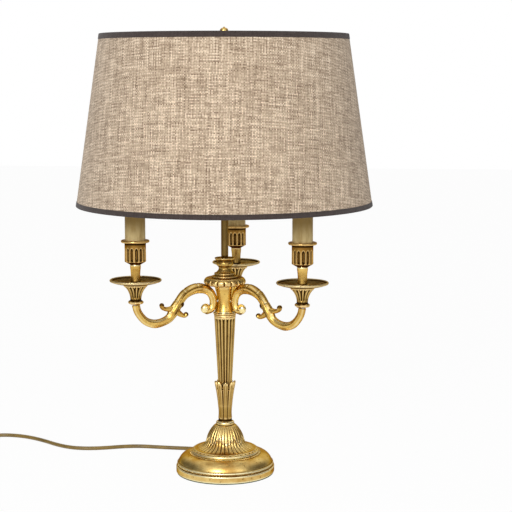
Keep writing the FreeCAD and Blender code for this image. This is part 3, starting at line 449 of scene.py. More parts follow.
def noise(tree, vector, scale, detail=3.0, roughness=0.55):
    node = add(tree, "ShaderNodeTexNoise", inputs={
        "Vector": vector, "Scale": scale, "Detail": detail, "Roughness": roughness,
    })
    return node.outputs["Fac"]


def new_group(name, inputs, outputs, kind="ShaderNodeTree"):
    """A node group whose sockets are listed by their kind: its tree, and its inner ends."""
    group = bpy.data.node_groups.new(name, kind)
    for way, sockets in (("INPUT", inputs), ("OUTPUT", outputs)):
        for socket, labels in sockets.items():
            for label in labels:
                group.interface.new_socket(name=label, in_out=way, socket_type=f"NodeSocket{socket}")
    return group, group.nodes.new("NodeGroupInput").outputs, group.nodes.new("NodeGroupOutput").inputs


def make_patina_and_shading():
    """Pale on ridges, as worn gilt and as a painted highlight; brown in hollows, as patina and as painted
    shade; mottled between, with small dark specks.
    """
    group, given, made = new_group("patina_and_shading", {
        "Vector": ["Vector"], "Float": ["Hollow", "Specks", "Mottle", "Polish"], "Color": TONES,
    }, {"Color": ["Color"], "Float": ["Roughness", "Height"]})
    vector = given["Vector"]
    cloud = noise(group, vector, 45.0, 4.0, 0.6)
    grain = noise(group, vector, 420.0, 3.0, 0.6)
    spots = noise(group, vector, 230.0, 2.0, 0.5)
    tint = work(group, "MULTIPLY", ramp(group, cloud, 0.40, 0.66), given["Mottle"])
    body = blend_colours(group, tint, given["Gold"], given["Amber"])
    uneven = work(group, "MULTIPLY_ADD", grain, 0.2, -0.1)
    hollow = work(group, "ADD", given["Hollow"], uneven)
    # Ridges take the pale tone: worn gilt and a painted highlight.
    wear_and_highlight = ramp(group, work(group, "MULTIPLY", hollow, -1.0), 0.05, 0.60)
    body = blend_colours(group, wear_and_highlight, body, given["Wear_and_highlight"])
    # Hollows take the brown tone: patina and painted shade.
    deep = ramp(group, hollow, 0.16, 0.85)
    body = blend_colours(group, deep, body, given["Brown"])
    speck = work(group, "MULTIPLY", ramp(group, spots, 0.66, 0.70), given["Specks"])
    body = blend_colours(group, speck, body, given["Brown"])
    rough = work(group, "MULTIPLY_ADD", deep, 0.3, given["Polish"])
    rough = work(group, "ADD", rough, work(group, "MULTIPLY", grain, 0.14))
    group.links.new(body, made["Color"])
    group.links.new(rough, made["Roughness"])
    group.links.new(work(group, "SUBTRACT", grain, speck), made["Height"])
    return group


def new_material(name, values):
    """A material with its tree and its surface, whose sockets take these values."""
    material = bpy.data.materials.new(name)
    material.use_nodes = True
    surface = material.node_tree.nodes["Principled BSDF"]
    for socket, value in values.items():
        surface.inputs[socket].default_value = value
    return material, material.node_tree, surface


def dress(tree, surface, colour, height, bump, depth, rough=None):
    """Give a surface its colour and its bumps, and its roughness where that varies."""
    relief = add(tree, "ShaderNodeBump", inputs={"Strength": bump, "Distance": depth, "Height": height})
    tree.links.new(colour, surface.inputs["Base Color"])
    tree.links.new(relief.outputs["Normal"], surface.inputs["Normal"])
    if rough is not None:
        tree.links.new(rough, surface.inputs["Roughness"])


def metal(name, group, tones, specks, mottle, polish, edge):
    material, tree, surface = new_material(name, {"Metallic": 1.0, "Specular Tint": edge})
    tone_and_painted_shade = add(tree, "ShaderNodeGroup", {"node_tree": group}, {
        "Vector": add(tree, "ShaderNodeTexCoord").outputs["Object"],
        "Hollow": add(tree, "ShaderNodeAttribute", {"attribute_name": "hollow"}).outputs["Fac"],
        "Specks": specks, "Mottle": mottle, "Polish": polish, **opaque(TONES, tones),
    }).outputs
    dress(tree, surface, tone_and_painted_shade["Color"], tone_and_painted_shade["Height"], 0.12, 0.0006, tone_and_painted_shade["Roughness"])
    return material


def opaque(labels, colours):
    return {label: (*colour, 1.0) for label, colour in zip(labels, colours)}


def moulded(name, colour, roughness, grain_scale=900.0, variation=0.12, bump=0.05):
    """Plastic or coated metal: one colour with a slight cloud and a fine grain."""
    material, tree, surface = new_material(name, {})
    place = add(tree, "ShaderNodeTexCoord").outputs["Object"]
    cloud = ramp(tree, noise(tree, place, 60.0), 0.35, 0.7)
    darker = tuple(c * (1 - variation) for c in colour)
    shade = blend_colours(tree, cloud, (*colour, 1), (*darker, 1))
    grain = noise(tree, place, grain_scale)
    rough = work(tree, "MULTIPLY_ADD", grain, 0.15, roughness - 0.07)
    dress(tree, surface, shade, grain, bump, 0.0004, rough)
    return material


def make_threads():
    """Crossing threads of uneven thickness and colour on a UV map in metres."""
    group, given, made = new_group("threads", {
        "Vector": ["Vector"], "Float": ["Pitch"], "Color": THREADS,
    }, {"Color": ["Color"], "Float": ["Height"]})
    parts = add(group, "ShaderNodeSeparateXYZ", inputs={"Vector": given["Vector"]})
    x = work(group, "DIVIDE", parts.outputs["X"], given["Pitch"])
    y = work(group, "DIVIDE", parts.outputs["Y"], given["Pitch"])
    warp = thread_tone(group, x, y, 0.035)
    weft = thread_tone(group, y, x, 0.07)
    over = work(group, "MULTIPLY", wave(group, x), wave(group, y))
    over = ramp(group, work(group, "MULTIPLY_ADD", over, 0.5, 0.5), 0.35, 0.65)
    tone = work(group, "ADD", work(group, "MULTIPLY", warp, over),
                work(group, "MULTIPLY", weft, work(group, "SUBTRACT", 1.0, over)))
    round_x = work(group, "ABSOLUTE", wave(group, work(group, "MULTIPLY", x, 0.5)))
    round_y = work(group, "ABSOLUTE", wave(group, work(group, "MULTIPLY", y, 0.5)))
    gap = work(group, "MULTIPLY", round_x, round_y)
    gap = ramp(group, gap, 0.0, 0.3, 1.0, 0.0)
    middling = ramp(group, tone, 0.36, 0.50)
    palest = ramp(group, tone, 0.51, 0.62)
    colour = blend_colours(group, middling, given["Dark"], given["Middle"])
    colour = blend_colours(group, palest, colour, given["Light"])
    colour = blend_colours(group, work(group, "MULTIPLY", gap, 0.45), colour, given["Dark"])
    group.links.new(colour, made["Color"])
    group.links.new(work(group, "SUBTRACT", tone, gap), made["Height"])
    return group


def wave(tree, value):
    return work(tree, "SINE", work(tree, "MULTIPLY", value, math.pi))


def thread_tone(tree, across, along, change):
    """Each thread keeps its own tone for a few centimetres and has short thick slubs."""
    cell = work(tree, "MULTIPLY", work(tree, "FLOOR", across), 2.37)
    tones = []
    for speed, layer, detail in ((change, 0.0, 1.0), (0.5, 7.3, 2.0)):
        spot = add(tree, "ShaderNodeCombineXYZ", inputs={
            "X": cell, "Y": work(tree, "MULTIPLY", along, speed), "Z": layer,
        })
        tones.append(noise(tree, spot.outputs[0], 1.0, detail))
    return work(tree, "MULTIPLY_ADD", tones[0], 0.62, work(tree, "MULTIPLY", tones[1], 0.38))


def cloth(name, group, pitch, threads, bump):
    material, tree, surface = new_material(name, {
        "Roughness": 0.92, "Specular IOR Level": 0.15, "Sheen Weight": 0.15, "Sheen Roughness": 0.6,
    })
    woven = add(tree, "ShaderNodeGroup", {"node_tree": group}, {
        "Vector": add(tree, "ShaderNodeUVMap", {"uv_map": "weave"}).outputs[0], "Pitch": pitch,
        **opaque(THREADS, threads),
    }).outputs
    dress(tree, surface, woven["Color"], woven["Height"], bump, 0.0008)
    return material


def make_glass():
    return new_material("bulb_glass", {
        "Base Color": (0.98, 0.97, 0.95, 1), "Roughness": 0.03, "Transmission Weight": 1.0, "IOR": 1.45,
    })[0]


def make_wax():
    """Cream candle sleeve with faint browner drips, and painted shade that browns it towards the top, under
    the lamp shade.
    """
    material, tree, surface = new_material("candle_cream", {"Roughness": 0.6, "Specular IOR Level": 0.2})
    place = add(tree, "ShaderNodeTexCoord").outputs["Object"]
    stretched = add(tree, "ShaderNodeMapping", inputs={"Vector": place, "Scale": (1.0, 1.0, 0.25)})
    drips = ramp(tree, noise(tree, stretched.outputs[0], 160.0, 3.0), 0.4, 0.7)
    colour = blend_colours(tree, drips, (0.70, 0.55, 0.27, 1), (0.44, 0.30, 0.11, 1))
    height = add(tree, "ShaderNodeSeparateXYZ", inputs={"Vector": place}).outputs["Z"]
    # Painted shade: browner from the sleeve's foot upwards over 27 mm, and dark above, where the lamp shade
    # hangs over it.
    tone_and_painted_shade = ramp(tree, height, SLEEVE_Z * MM + 0.001, SLEEVE_Z * MM + 0.028, 0.0, 0.9)
    colour = blend_colours(tree, tone_and_painted_shade, colour, (0.25, 0.155, 0.04, 1))
    dress(tree, surface, colour, noise(tree, place, 700.0), 0.06, 0.0005)
    return material


def make_materials():
    tone_and_painted_shade = make_patina_and_shading()
    threads = make_threads()
    brown, deep_brown = (0.085, 0.036, 0.004), (0.035, 0.014, 0.002)
    grey = (0.8, 0.8, 0.8, 1.0)
    finishes = {}
    # Each finish lists its ridge tone (wear and painted highlight), body, mottle and hollow tone (patina and
    # painted shade).
    for name, tones, wear, edge in (
        ("gilt", ((1.0, 0.84, 0.44), (0.80, 0.53, 0.14), (0.45, 0.20, 0.025), brown),
         (0.4, 0.6, 0.2), WARM_EDGE),
        ("base_gilt", ((1.0, 0.90, 0.55), (0.86, 0.63, 0.24), (0.50, 0.25, 0.04), brown),
         (0.5, 0.7, 0.25), (0.30, 0.16, 0.05, 1.0)),
        ("cup_gilt", ((0.70, 0.46, 0.17), (0.36, 0.19, 0.04), (0.20, 0.08, 0.01), deep_brown),
         (0.3, 0.6, 0.22), WARM_EDGE),
        ("olive_gilt", ((0.88, 0.64, 0.28), (0.50, 0.32, 0.09), (0.26, 0.13, 0.02), deep_brown),
         (0.3, 0.6, 0.24), WARM_EDGE),
        ("pan_gilt", ((0.70, 0.56, 0.31), (0.37, 0.27, 0.12), (0.17, 0.115, 0.045), brown),
         (0.5, 0.8, 0.34), WARM_EDGE),
        ("antique_brass", ((0.34, 0.23, 0.09), (0.20, 0.125, 0.036), (0.13, 0.075, 0.02), brown),
         (0.2, 0.5, 0.28), WARM_EDGE),
        ("bulb_brass", ((0.8, 0.7, 0.45), (0.7, 0.58, 0.32), (0.5, 0.4, 0.2), brown),
         (0.05, 0.3, 0.25), WARM_EDGE),
        ("plain_steel",
         ((0.62, 0.62, 0.61), (0.55, 0.55, 0.54), (0.42, 0.42, 0.41), (0.15, 0.14, 0.13)),
         (0.1, 0.5, 0.3), grey),
        ("iron_ballast",
         ((0.2, 0.19, 0.18), (0.13, 0.12, 0.12), (0.08, 0.07, 0.07), (0.03, 0.03, 0.03)),
         (0.6, 0.8, 0.6), grey),
    ):
        finishes[name] = metal(name, tone_and_painted_shade, tones, *wear, edge)
    for name, pitch, tones, bump in (
        ("shade_linen", LINEN_PITCH,
         ((0.88, 0.72, 0.545), (0.56, 0.43, 0.305), (0.23, 0.155, 0.10)), 0.6),
        ("dark_tape", TAPE_PITCH,
         ((0.072, 0.054, 0.049), (0.055, 0.040, 0.036), (0.032, 0.023, 0.020)), 0.25),
    ):
        finishes[name] = cloth(name, threads, pitch, tones, bump)
    for name, colour, *rest in (
        ("shade_liner", (0.80, 0.76, 0.68), 0.6), ("frame_wire", (0.80, 0.78, 0.74), 0.4),
        ("holder_plastic", (0.74, 0.72, 0.66), 0.45),
        ("felt", (0.10, 0.13, 0.09), 0.95, 1500.0, 0.3, 0.6),
        ("gold_cord", (0.26, 0.165, 0.035), 0.35, 700.0, 0.35),
        ("switch_plastic", (0.33, 0.23, 0.08), 0.35),
    ):
        finishes[name] = moulded(name, colour, *rest)
    finishes["candle_cream"] = make_wax()
    finishes["bulb_glass"] = make_glass()
    return finishes


# Cord

def coil_points():
    """Control points of the put-away coil: in along the lower layer, up, and out along the upper.
    The curve runs a little inside its control points, so these lie further out by COIL_SWELL."""
    points = []
    inner = COIL_OUTER_R - COIL_PITCH * COIL_TURNS
    total = 2 * COIL_TURNS + COIL_HALF_RISE
    for i in range(int(total * COIL_STEPS) + 1):
        turns = i / COIL_STEPS
        climb = min(max((turns - COIL_TURNS) / COIL_HALF_RISE, 0.0), 1.0)
        if turns <= COIL_TURNS:
            radius = COIL_OUTER_R - COIL_PITCH * turns
        else:
            radius = inner + COIL_PITCH * max(turns - COIL_TURNS - COIL_HALF_RISE, 0.0)
        radius = (radius - COIL_SQUEEZE * math.sin(math.pi * climb)) * COIL_SWELL
        angle = -2 * math.pi * turns
        height = COIL_LOW + (COIL_HIGH - COIL_LOW) * (climb * climb * (3 - 2 * climb))
        points.append((
            COIL_CENTRE[0] + radius * math.cos(angle), COIL_CENTRE[1] + radius * math.sin(angle), height,
        ))
    return points


def make_cord(material):
    curve = bpy.data.curves.new("cord", "CURVE")
    curve.dimensions = "3D"
    points = [RELIEF_TIP, RELIEF_AHEAD] + CORD_ROUTE + coil_points() + CORD_TAIL
    spline = curve.splines.new("NURBS")
    spline.points.add(len(points) - 1)
    for point, place in zip(spline.points, points):
        point.co = (*(c * MM for c in place), 1.0)
    spline.order_u = 3
    spline.use_endpoint_u = True
    spline.resolution_u = 8
    curve.bevel_depth = CORD_R * MM
    curve.bevel_resolution = 5
    curve.use_fill_caps = True
    curve.materials.append(material)
    return in_scene("cord", curve)


# Base

def foot_profile():
    ring_top = FOOT_WALL + 5.6
    return outline(
        (FOOT_R - 4.0, FELT), (FOOT_R - 0.8, FELT), (FOOT_R, FELT + 0.8), (FOOT_R, FOOT_WALL),
        ((FOOT_R - 0.4, FOOT_WALL + 1.3), (FOOT_R - 1.6, FOOT_WALL + 1.5)),
        (BEAD_R - 1.0, FOOT_WALL + 2.0), (BEAD_R - 1.0, FOOT_WALL + 3.4), (BEAD_R - 0.4, FOOT_WALL + 3.8),
        ((BEAD_R + 0.2, ring_top - 0.3), (BEAD_R - 0.8, ring_top + 0.6)), (BAND_R - 0.6, ring_top + 0.9),
        ((58.6, 24.6), (DOME_EDGE_R + 2.6, FOOT_TOP - 1.0)), (DOME_EDGE_R + 1.6, FOOT_TOP - 1.6),
        (DOME_EDGE_R + 0.4, FOOT_TOP - 0.3), (DOME_EDGE_R - 2.0, FOOT_TOP - 0.1),
    )


def dome_profile():
    z = FOOT_TOP
    return outline(
        (DOME_EDGE_R - 4.0, z), (DOME_EDGE_R - 0.9, z),
        ((DOME_EDGE_R, z + 1.7), (DOME_EDGE_R - 0.9, z + 3.4)), (FLARE_R, z + 5.3),
        ((31.85, z + 8.2), (DOME_R - 0.3, z + 16.3)), ((21.4, z + 28.0), (SHOULDER_R, z + 36.6)),
        (14.4, z + 37.8), (NECK_R - 0.4, z + 38.6), ((NECK_R, z + 40.8), (NECK_R - 0.9, z + DOME_H)),
        (TUBE_BORE, z + DOME_H), step=0.6,
    )


def dome_relief(theta, r, z):
    """Narrow flutes on the flare, a row of drilled dots under them, and eight veined leaves on the bell."""
    up = z - FOOT_TOP
    leaf = part_of(theta, LEAVES)
    side = np.abs(leaf)
    flute = np.abs(part_of(theta, FLARE_FLUTES))
    lobes = 0.5 + 0.5 * np.cos(2 * math.pi * side * 2.5)
    edge = 15.0 + 7.5 * side ** 1.4 - 2.2 * lobes
    on_leaf = ease(up, edge - 0.7, edge + 0.7) * (1 - ease(up, 36.0, 38.0))
    total = -1.0 * hump(1 - flute, 0.28) * between(up, 5.8, 34.0, 0.5) * (1 - on_leaf)
    total -= 1.1 * hump(1 - flute, 0.28) * hump(up - 4.4, 0.55)
    rib = np.abs(part_of(theta, LEAF_RIBS))
    body = 0.7 - 0.8 * hump(1 - rib, 0.34) - 0.5 * hump(1 - side, 0.10)
    total += on_leaf * body * (0.6 + 0.4 * ease(36.6 - up, 0.0, 12.0))
    pits = hump(lobes, 0.25) * hump(up - edge - 0.6, 0.9)
    return total - 1.7 * pits


def make_base(finish):
    under = FOOT_TOP - 3.0
    foot = turn("base_foot_gilt", foot_profile(), [
        (TUBE_BORE, FOOT_TOP - 0.1), (TUBE_BORE, under), (DOME_EDGE_R - 1.0, under), (FOOT_R - 6.6, 14.6),
        (FOOT_R - 4.0, FOOT_WALL),
    ], 320, finish["base_gilt"])
    dome = turn("base_dome_gilt", dome_profile(), [
        (TUBE_BORE, 60.0), (15.0, 60.0), (22.9, 41.0), (40.0, 29.0),
    ], 432, finish["base_gilt"], dome_relief)
    return [(mark_hollows(foot, 18, 0.5), "base_foot"), (mark_hollows(dome, 16, 0.55), "base_dome")]


# Column

def calyx_relief(theta, r, z):
    """Eight long leaves, each with a soft midrib, parted by deep lines."""
    leaf = part_of(theta, LEAVES)
    side = np.abs(leaf)
    up = (z - CALYX_Z) / CALYX_H
    size = 0.55 + 0.7 * ease(up, 0.1, 0.9)
    body = 0.6 * np.cos(0.5 * math.pi * side) - 1.4 * hump(1 - side, 0.24) + 0.3 * hump(leaf, 0.14)
    return size * body * ease(z, CALYX_Z + 2.0, CALYX_Z + 5.0)


def calyx_shape(theta, r, z):
    """Cut the top edge into eight pointed tips by drawing it down between the leaves."""
    side = np.abs(part_of(theta, LEAVES))
    top = CALYX_Z + CALYX_H
    share = ease(z, top - LEAF_NOTCH - 8.0, top)
    drop = LEAF_NOTCH * side ** 2.2 * share
    pull = (1 - 0.20 * side ** 2 * share) * np.ones_like(r)
    inner = r < 6.0
    return np.where(inner, r, r * pull), np.where(inner, z, z - drop)


def shaft_relief(theta, r, z):
    flute = np.abs(part_of(theta, SHAFT_FLUTES))
    top = COLLAR_Z - 2.0 - 2.0 * flute ** 2
    groove = hump(1 - flute, 0.46)
    return -1.25 * groove * (1 - ease(z, top - 0.8, top + 0.8)) + 0.25 * hump(flute, 0.3)


def cap_relief(theta, r, z):
    """Egg-shaped lobes round the edge, parted by narrow deep gaps."""
    lobe = np.abs(part_of(theta, CAP_LOBES, FRONT + math.radians(5.0)))
    on_edge = hump((z - CAP_Z - 3.8) / 3.6, 1.0) * ease(r, 19.0, 25.5)
    return on_edge * (0.9 * np.sqrt(np.maximum(1 - (lobe / 1.02) ** 2, 0.0)) - 1.9 * hump(1 - lobe, 0.20))


def make_column(finish):
    z = CALYX_Z
    top = z + CALYX_H
    calyx = outline(
        (TUBE_BORE + 1, z), (NECK_R - 1.6, z), ((9.4, z + 1.5), (9.0, z + 4.5)),
        ((8.5, z + 11.1), (9.1, z + 22.2)), ((11.2, z + 42.2), (CALYX_TIP_R, top - 0.4)),
        ((CALYX_TIP_R - 0.3, top + 0.2), (CALYX_TIP_R - 1.2, top - 0.4)), (SHAFT_FOOT_R + 1.6, top - 9.0),
    )
    low = SHAFT_Z - LEAF_CUP
    shaft = outline(
        (SHAFT_FOOT_R - 0.8, low + 1.0), (SHAFT_FOOT_R - 0.2, SHAFT_Z), (SHAFT_TOP_R - 0.1, COLLAR_Z - 4.0),
        (SHAFT_TOP_R + 0.3, COLLAR_Z), (TUBE_BORE, COLLAR_Z), step=0.9,
    )
    z = COLLAR_Z
    collar = outline(
        (TUBE_BORE, z), (14.2, z), ((15.0, z + 1.4), (14.2, z + 2.8)), (13.7, z + 3.1), (15.6, z + 3.2),
        ((16.1, z + 4.1), (15.6, z + 5.1)), (TUBE_BORE, z + 5.1), step=0.5,
    )
    z = HUB_Z
    hub = outline(
        (TUBE_BORE, z), (14.0, z), ((14.5, z + 0.8), (14.0, z + 1.8)), (13.5, z + 2.3),
        ((HUB_WAIST_R, z + 16.4), (13.6, z + 33.4)), (14.2, z + 37.4), (TUBE_BORE, z + 37.4), step=0.8,
    )
    z = CAP_Z
    cap = outline(
        (TUBE_BORE, z), (20.6, z), (23.0, z + 0.2), ((CAP_R - 1.0, z + 5.2), (25.2, z + 10.6)),
        (22.0, z + 11.0), (TUBE_BORE, z + 11.0), step=0.6,
    )
    z = CROWN_Z
    crown = outline(
        (TUBE_BORE, z), (CROWN_R - 0.8, z), ((CROWN_R, z + 1.1), (CROWN_R - 0.8, z + 2.2)),
        (CROWN_RING_R - 0.2, z + 2.8), (CROWN_RING_R - 0.8, z + 4.0),
        ((CROWN_RING_R, z + 5.1), (CROWN_RING_R - 0.8, z + 6.2)), ((11.2, z + 7.4), (9.6, z + 9.2)),
        (TUBE_BORE, z + 9.2), step=0.4,
    )
    z = DISH_Z
    dish = outline(
        (TUBE_BORE, z), (9.6, z), ((8.4, z + 4.1), (10.7, z + 6.8)), ((11.3, z + 9.5), (10.7, z + 12.2)),
        (9.0, z + 12.9), (9.2, z + 13.8), ((11.6, z + 14.4), (13.5, z + 16.2)), (13.9, z + 17.2),
        (13.3, z + 17.8), (11.6, z + 16.6), (6.0, z + 16.2), (ROD_R - 0.5, z + 16.3), step=0.5,
    )
    gilt, olive = finish["gilt"], finish["olive_gilt"]
    bore = TUBE_BORE
    leaves_inside = [(bore, low), (bore, CALYX_Z)]
    leaf_forms = (calyx_relief, calyx_shape)
    dish_inside = [(ROD_R - 0.5, DISH_Z + 9.0), (bore, DISH_Z + 9.0)]
    pieces = []
    for name, node, profile, inside, segments, material, forms, passes, depth in (
        ("leaf_cup_gilt", "leaf_cup", calyx, leaves_inside, 320, olive, leaf_forms, 26, 0.22),
        ("shaft_gilt", "fluted_shaft", shaft, [(bore, low + 1.0)], 320, olive, (shaft_relief,), 26, 0.25),
        ("collar_gilt", "shaft_collar", collar, [(bore, COLLAR_Z + 2.0)], 160, olive, (), 14, 0.25),
        ("hub_gilt", "arm_hub", hub, [(bore, HUB_Z + 18.0)], 160, gilt, (), 14, 0.6),
        ("cap_gilt", "lobed_cap", cap, [(bore, CAP_Z + 5.0)], 432, olive, (cap_relief,), 18, 0.55),
        ("crown_gilt", "cap_crown", crown, [(bore, CROWN_Z + 4.0)], 200, olive, (), 16, 0.6),
        ("dish_gilt", "rod_dish", dish, dish_inside, 160, olive, (), 16, 0.8),
    ):
        piece = turn(name, profile, inside, segments, material, *forms)
        pieces.append((mark_hollows(piece, passes, depth), node))
    return pieces


def make_rod(material):
    inner = ROD_R - 1.5
    rod = outline((inner, ROD_Z - 2.0), (ROD_R, ROD_Z - 1.9), (ROD_R, ROD_TOP), (inner, ROD_TOP), step=6.0)
    return turn("rod_brass", rod, [(inner, 400.0)], 64, material)


# Arms

def smooth_line(stations, count):
    """Rows along a smooth line through the stations, each row interpolated in all its columns."""
    rows = np.array(stations, float)
    gaps = np.sqrt(np.linalg.norm(np.diff(rows[:, :2], axis=0), axis=1))
    knots = np.concatenate([[0.0], np.cumsum(gaps)])
    slopes = np.gradient(rows, knots, axis=0)
    t = np.linspace(0.0, knots[-1], count)
    i = np.clip(np.searchsorted(knots, t, side="right") - 1, 0, len(knots) - 2)
    width = (knots[i + 1] - knots[i])[:, None]
    u = ((t - knots[i])[:, None]) / width
    a, b = rows[i], rows[i + 1]
    return ((1 + 2 * u) * (1 - u) ** 2 * a + u * (1 - u) ** 2 * width * slopes[i]
            + u * u * (3 - 2 * u) * b + u * u * (u - 1) * width * slopes[i + 1])


def swept(rows, section, relief=None, round_end=True, sides=48):
    """A bar along rows of (distance, height, half thickness, half width) in the arm's plane."""
    ahead = np.gradient(rows[:, :2], axis=0)
    ahead /= np.linalg.norm(ahead, axis=1, keepdims=True)
    angles = (np.arange(sides) * 2 * math.pi / sides)[None, :]
    u, v = section(angles)
    if relief:
        grow = relief(rows, angles)
        u, v = u * (1 + grow), v * (1 + grow)
    thick, wide = rows[:, 2:3] * u, rows[:, 3:4] * v
    x = rows[:, 0:1] - ahead[:, 1:2] * thick
    z = rows[:, 1:2] + ahead[:, 0:1] * thick
    grid = np.stack([x, wide, z], axis=2)
    first = end_cap(grid[0], rows[0], -ahead[0], True)[::-1]
    last = end_cap(grid[-1], rows[-1], ahead[-1], round_end)
    grid = np.concatenate([first, grid, last], axis=0)
    return grid.reshape(-1, 3), quads(len(grid), sides, row_ring=False)[:, [0, 3, 2, 1]]


def end_cap(ring, row, ahead, rounded):
    """Rings that close an end to a point, bulging ahead when it is rounded."""
    middle = np.array([row[0], 0.0, row[1]])
    way = np.array([ahead[0], 0.0, ahead[1]])
    rings = []
    for i in range(1, 7):
        angle = i / 6 * math.pi / 2
        push = row[2] * math.sin(angle) if rounded else 0.0
        rings.append(middle + (ring - middle) * math.cos(angle) + way * push)
    return np.array(rings)


def cut_section(angle):
    """Eight-sided strap with a ridge along each side face."""
    sharp = 5.0
    u, v = np.cos(angle), np.sin(angle)
    size = (np.abs(u) ** sharp + np.abs(v) ** sharp) ** (-1 / sharp)
    size = np.minimum(size, 1.28 / (np.abs(u) + np.abs(v)))
    return u * size, v * size


def round_section(angle):
    return np.cos(angle), np.sin(angle)


def arm_line(count, near_rows, far_rows=()):
    """A smooth line through rows of (distance, height, half thickness, half width), with heights over the
    hub's foot and distances from its waist or, for far rows, from the axis of the arm's end."""
    rows = [(HUB_WAIST_R + d, HUB_Z + h, *sizes) for d, h, *sizes in near_rows]
    rows += [(REACH + d, HUB_Z + h, *sizes) for d, h, *sizes in far_rows]
    return smooth_line(rows, count)


def arm_relief(rows, angle):
    """Grooved scroll near the hub, a leaf with slanting veins over the crest, a plain ridge to the end."""
    along = np.concatenate([[0.0], np.cumsum(np.linalg.norm(np.diff(rows[:, :2], axis=0), axis=1))])[:, None]
    side = np.abs(np.sin(angle))
    top = np.cos(angle)
    scroll = 1 - ease(along, 42.0, 50.0)
    groove = -0.12 * hump(side - 1.0, 0.10) * scroll
    leaf = between(along, 46.0, 104.0, 3.0)
    facet = 0.09 * hump(top - 0.55 + 0.012 * (along - 46.0), 0.26) * leaf
    fold = -0.035 * hump(top - 0.05 + 0.012 * (along - 46.0), 0.12) * leaf
    nick = part_of(along * 2 * math.pi / 17.0, 1, 0.6)
    notches = -0.08 * hump(nick, 0.08) * hump(top - 0.8, 0.5) * leaf
    bow = ease(along, 106.0, 112.0)
    return groove + facet + fold + notches + 0.03 * leaf + 0.02 * bow


def make_arm(number, degrees, material):
    strap = arm_line(260, [
        (15.6, 2.6, 3.8, 4.4), (9.2, 5.6, 4.6, 4.7), (6.1, 12.4, 5.0, 4.8), (6.2, 19.8, 5.2, 5.0),
        (10.4, 28.4, 5.6, 5.4), (19.0, 33.9, 6.4, 6.0), (32.5, 35.0, 6.7, 6.3), (47.0, 28.8, 6.2, 6.2),
        (56.0, 18.4, 6.0, 6.0), (63.2, 7.2, 7.0, 6.4),
    ], [
        (-47.5, -2.0, 5.8, 5.2), (-39.5, -6.6, 5.4, 4.6), (-27.0, -9.0, 5.6, 4.3), (-15.2, -5.4, 5.2, 4.3),
        (-7.4, 1.6, 4.9, 4.3), (-2.0, 10.4, 4.9, 4.5), (0.0, 18.6, 5.1, 4.8),
    ])
    upper = arm_line(48, [
        (54.0, 15.5, 5.2, 5.4), (61.0, 11.4, 4.8, 5.0), (68.0, 9.6, 3.8, 4.5), (75.0, 9.9, 2.9, 4.0),
        (79.8, 12.4, 2.8, 4.0), (80.5, 15.2, 3.2, 4.2),
    ])
    lower = arm_line(40, [
        (62.5, 8.0, 5.2, 5.2), (57.0, 3.8, 4.2, 4.8), (52.0, 0.4, 3.2, 4.2), (48.0, -0.8, 2.8, 4.0),
        (45.8, 0.8, 3.2, 4.2),
    ])
    points = []
    faces = []
    offset = 0
    for part_points, part_faces in (
        swept(strap, cut_section, arm_relief, round_end=False),
        swept(upper, round_section, sides=32),
        swept(lower, round_section, sides=32),
        scroll_eye((HUB_WAIST_R + 17.4, 0.0, HUB_Z + 6.9), (6.8, 4.9, 6.8)),
    ):
        points.append(part_points)
        faces.append(part_faces + offset)
        offset += len(part_points)
    whole = about_column(np.vstack(points), degrees)
    piece = finish_mesh(f"arm_{number}_gilt", whole, np.vstack(faces), material, 50.0)
    return mark_hollows(piece, 20, 0.6)


def scroll_eye(centre, radii, rings=24, sides=40):
    """A ball whose side faces carry a shallow winding groove, like the eye of a scroll."""
    polar = (np.arange(rings + 1) * math.pi / rings)[:, None]
    angle = (np.arange(sides) * 2 * math.pi / sides)[None, :]
    flat = np.sin(polar)
    winding = part_of(angle + 5.0 * flat, 1, 0.0)
    size = 1 - 0.13 * hump(winding, 0.35) * between(flat, 0.25, 0.92, 0.12)
    x = radii[0] * flat * np.cos(angle) * size
    z = radii[2] * flat * np.sin(angle) * size
    y = -radii[1] * np.cos(polar) * size
    grid = np.stack([x + centre[0], y + centre[1], z + centre[2]], axis=2)
    return grid.reshape(-1, 3), quads(rings + 1, sides, row_ring=False)


# Arm ends

def ribbed_relief(theta, r, z):
    """A cut block at the knop, then ribs parted by hollows with round tops."""
    knop_top = ARM_END_Z + KNOP_H
    corner = np.abs(part_of(theta, 8, 0.0))
    block = (1 / np.cos(math.pi / 8 * corner) - 1.04) * r
    on_block = 1 - ease(z, knop_top - 0.6, knop_top + 0.4)
    rib = np.abs(part_of(theta, RIBS, 0.0))
    top = PAN_Z - 2.6
    hollow = hump(1 - rib, 0.55) * ease(z, knop_top + 2.0, knop_top + 6.0)
    hollow *= 1 - ease(z + 3.0 * rib ** 2, top, top + 1.6)
    return block * on_block - 2.1 * hollow * (r / 12.0)


def pan_relief(theta, r, z):
    """Faint spun rings in the dish."""
    return 0.12 * np.cos(2 * math.pi * r / 4.2) * between(r, 12.0, 30.0, 1.0) * (z > PAN_Z + 1.0)


def cup_relief(theta, r, z):
    """Flutes with round tops, sunk into the lower two thirds of the cup."""
    flute = np.abs(part_of(theta, CUP_FLUTES, 0.0))
    top = CUP_Z + CUP_H - 7.5
    low = CUP_Z + 4.6
    arch = top - 3.2 * (1 - np.sqrt(np.maximum(1 - (flute / 0.62) ** 2, 0.0)))
    inside = (1 - ease(flute, 0.46, 0.64)) * (1 - ease(z, arch - 0.5, arch + 0.5)) * ease(z, low, low + 1.2)
    return -1.5 * inside * (r > 8.0)


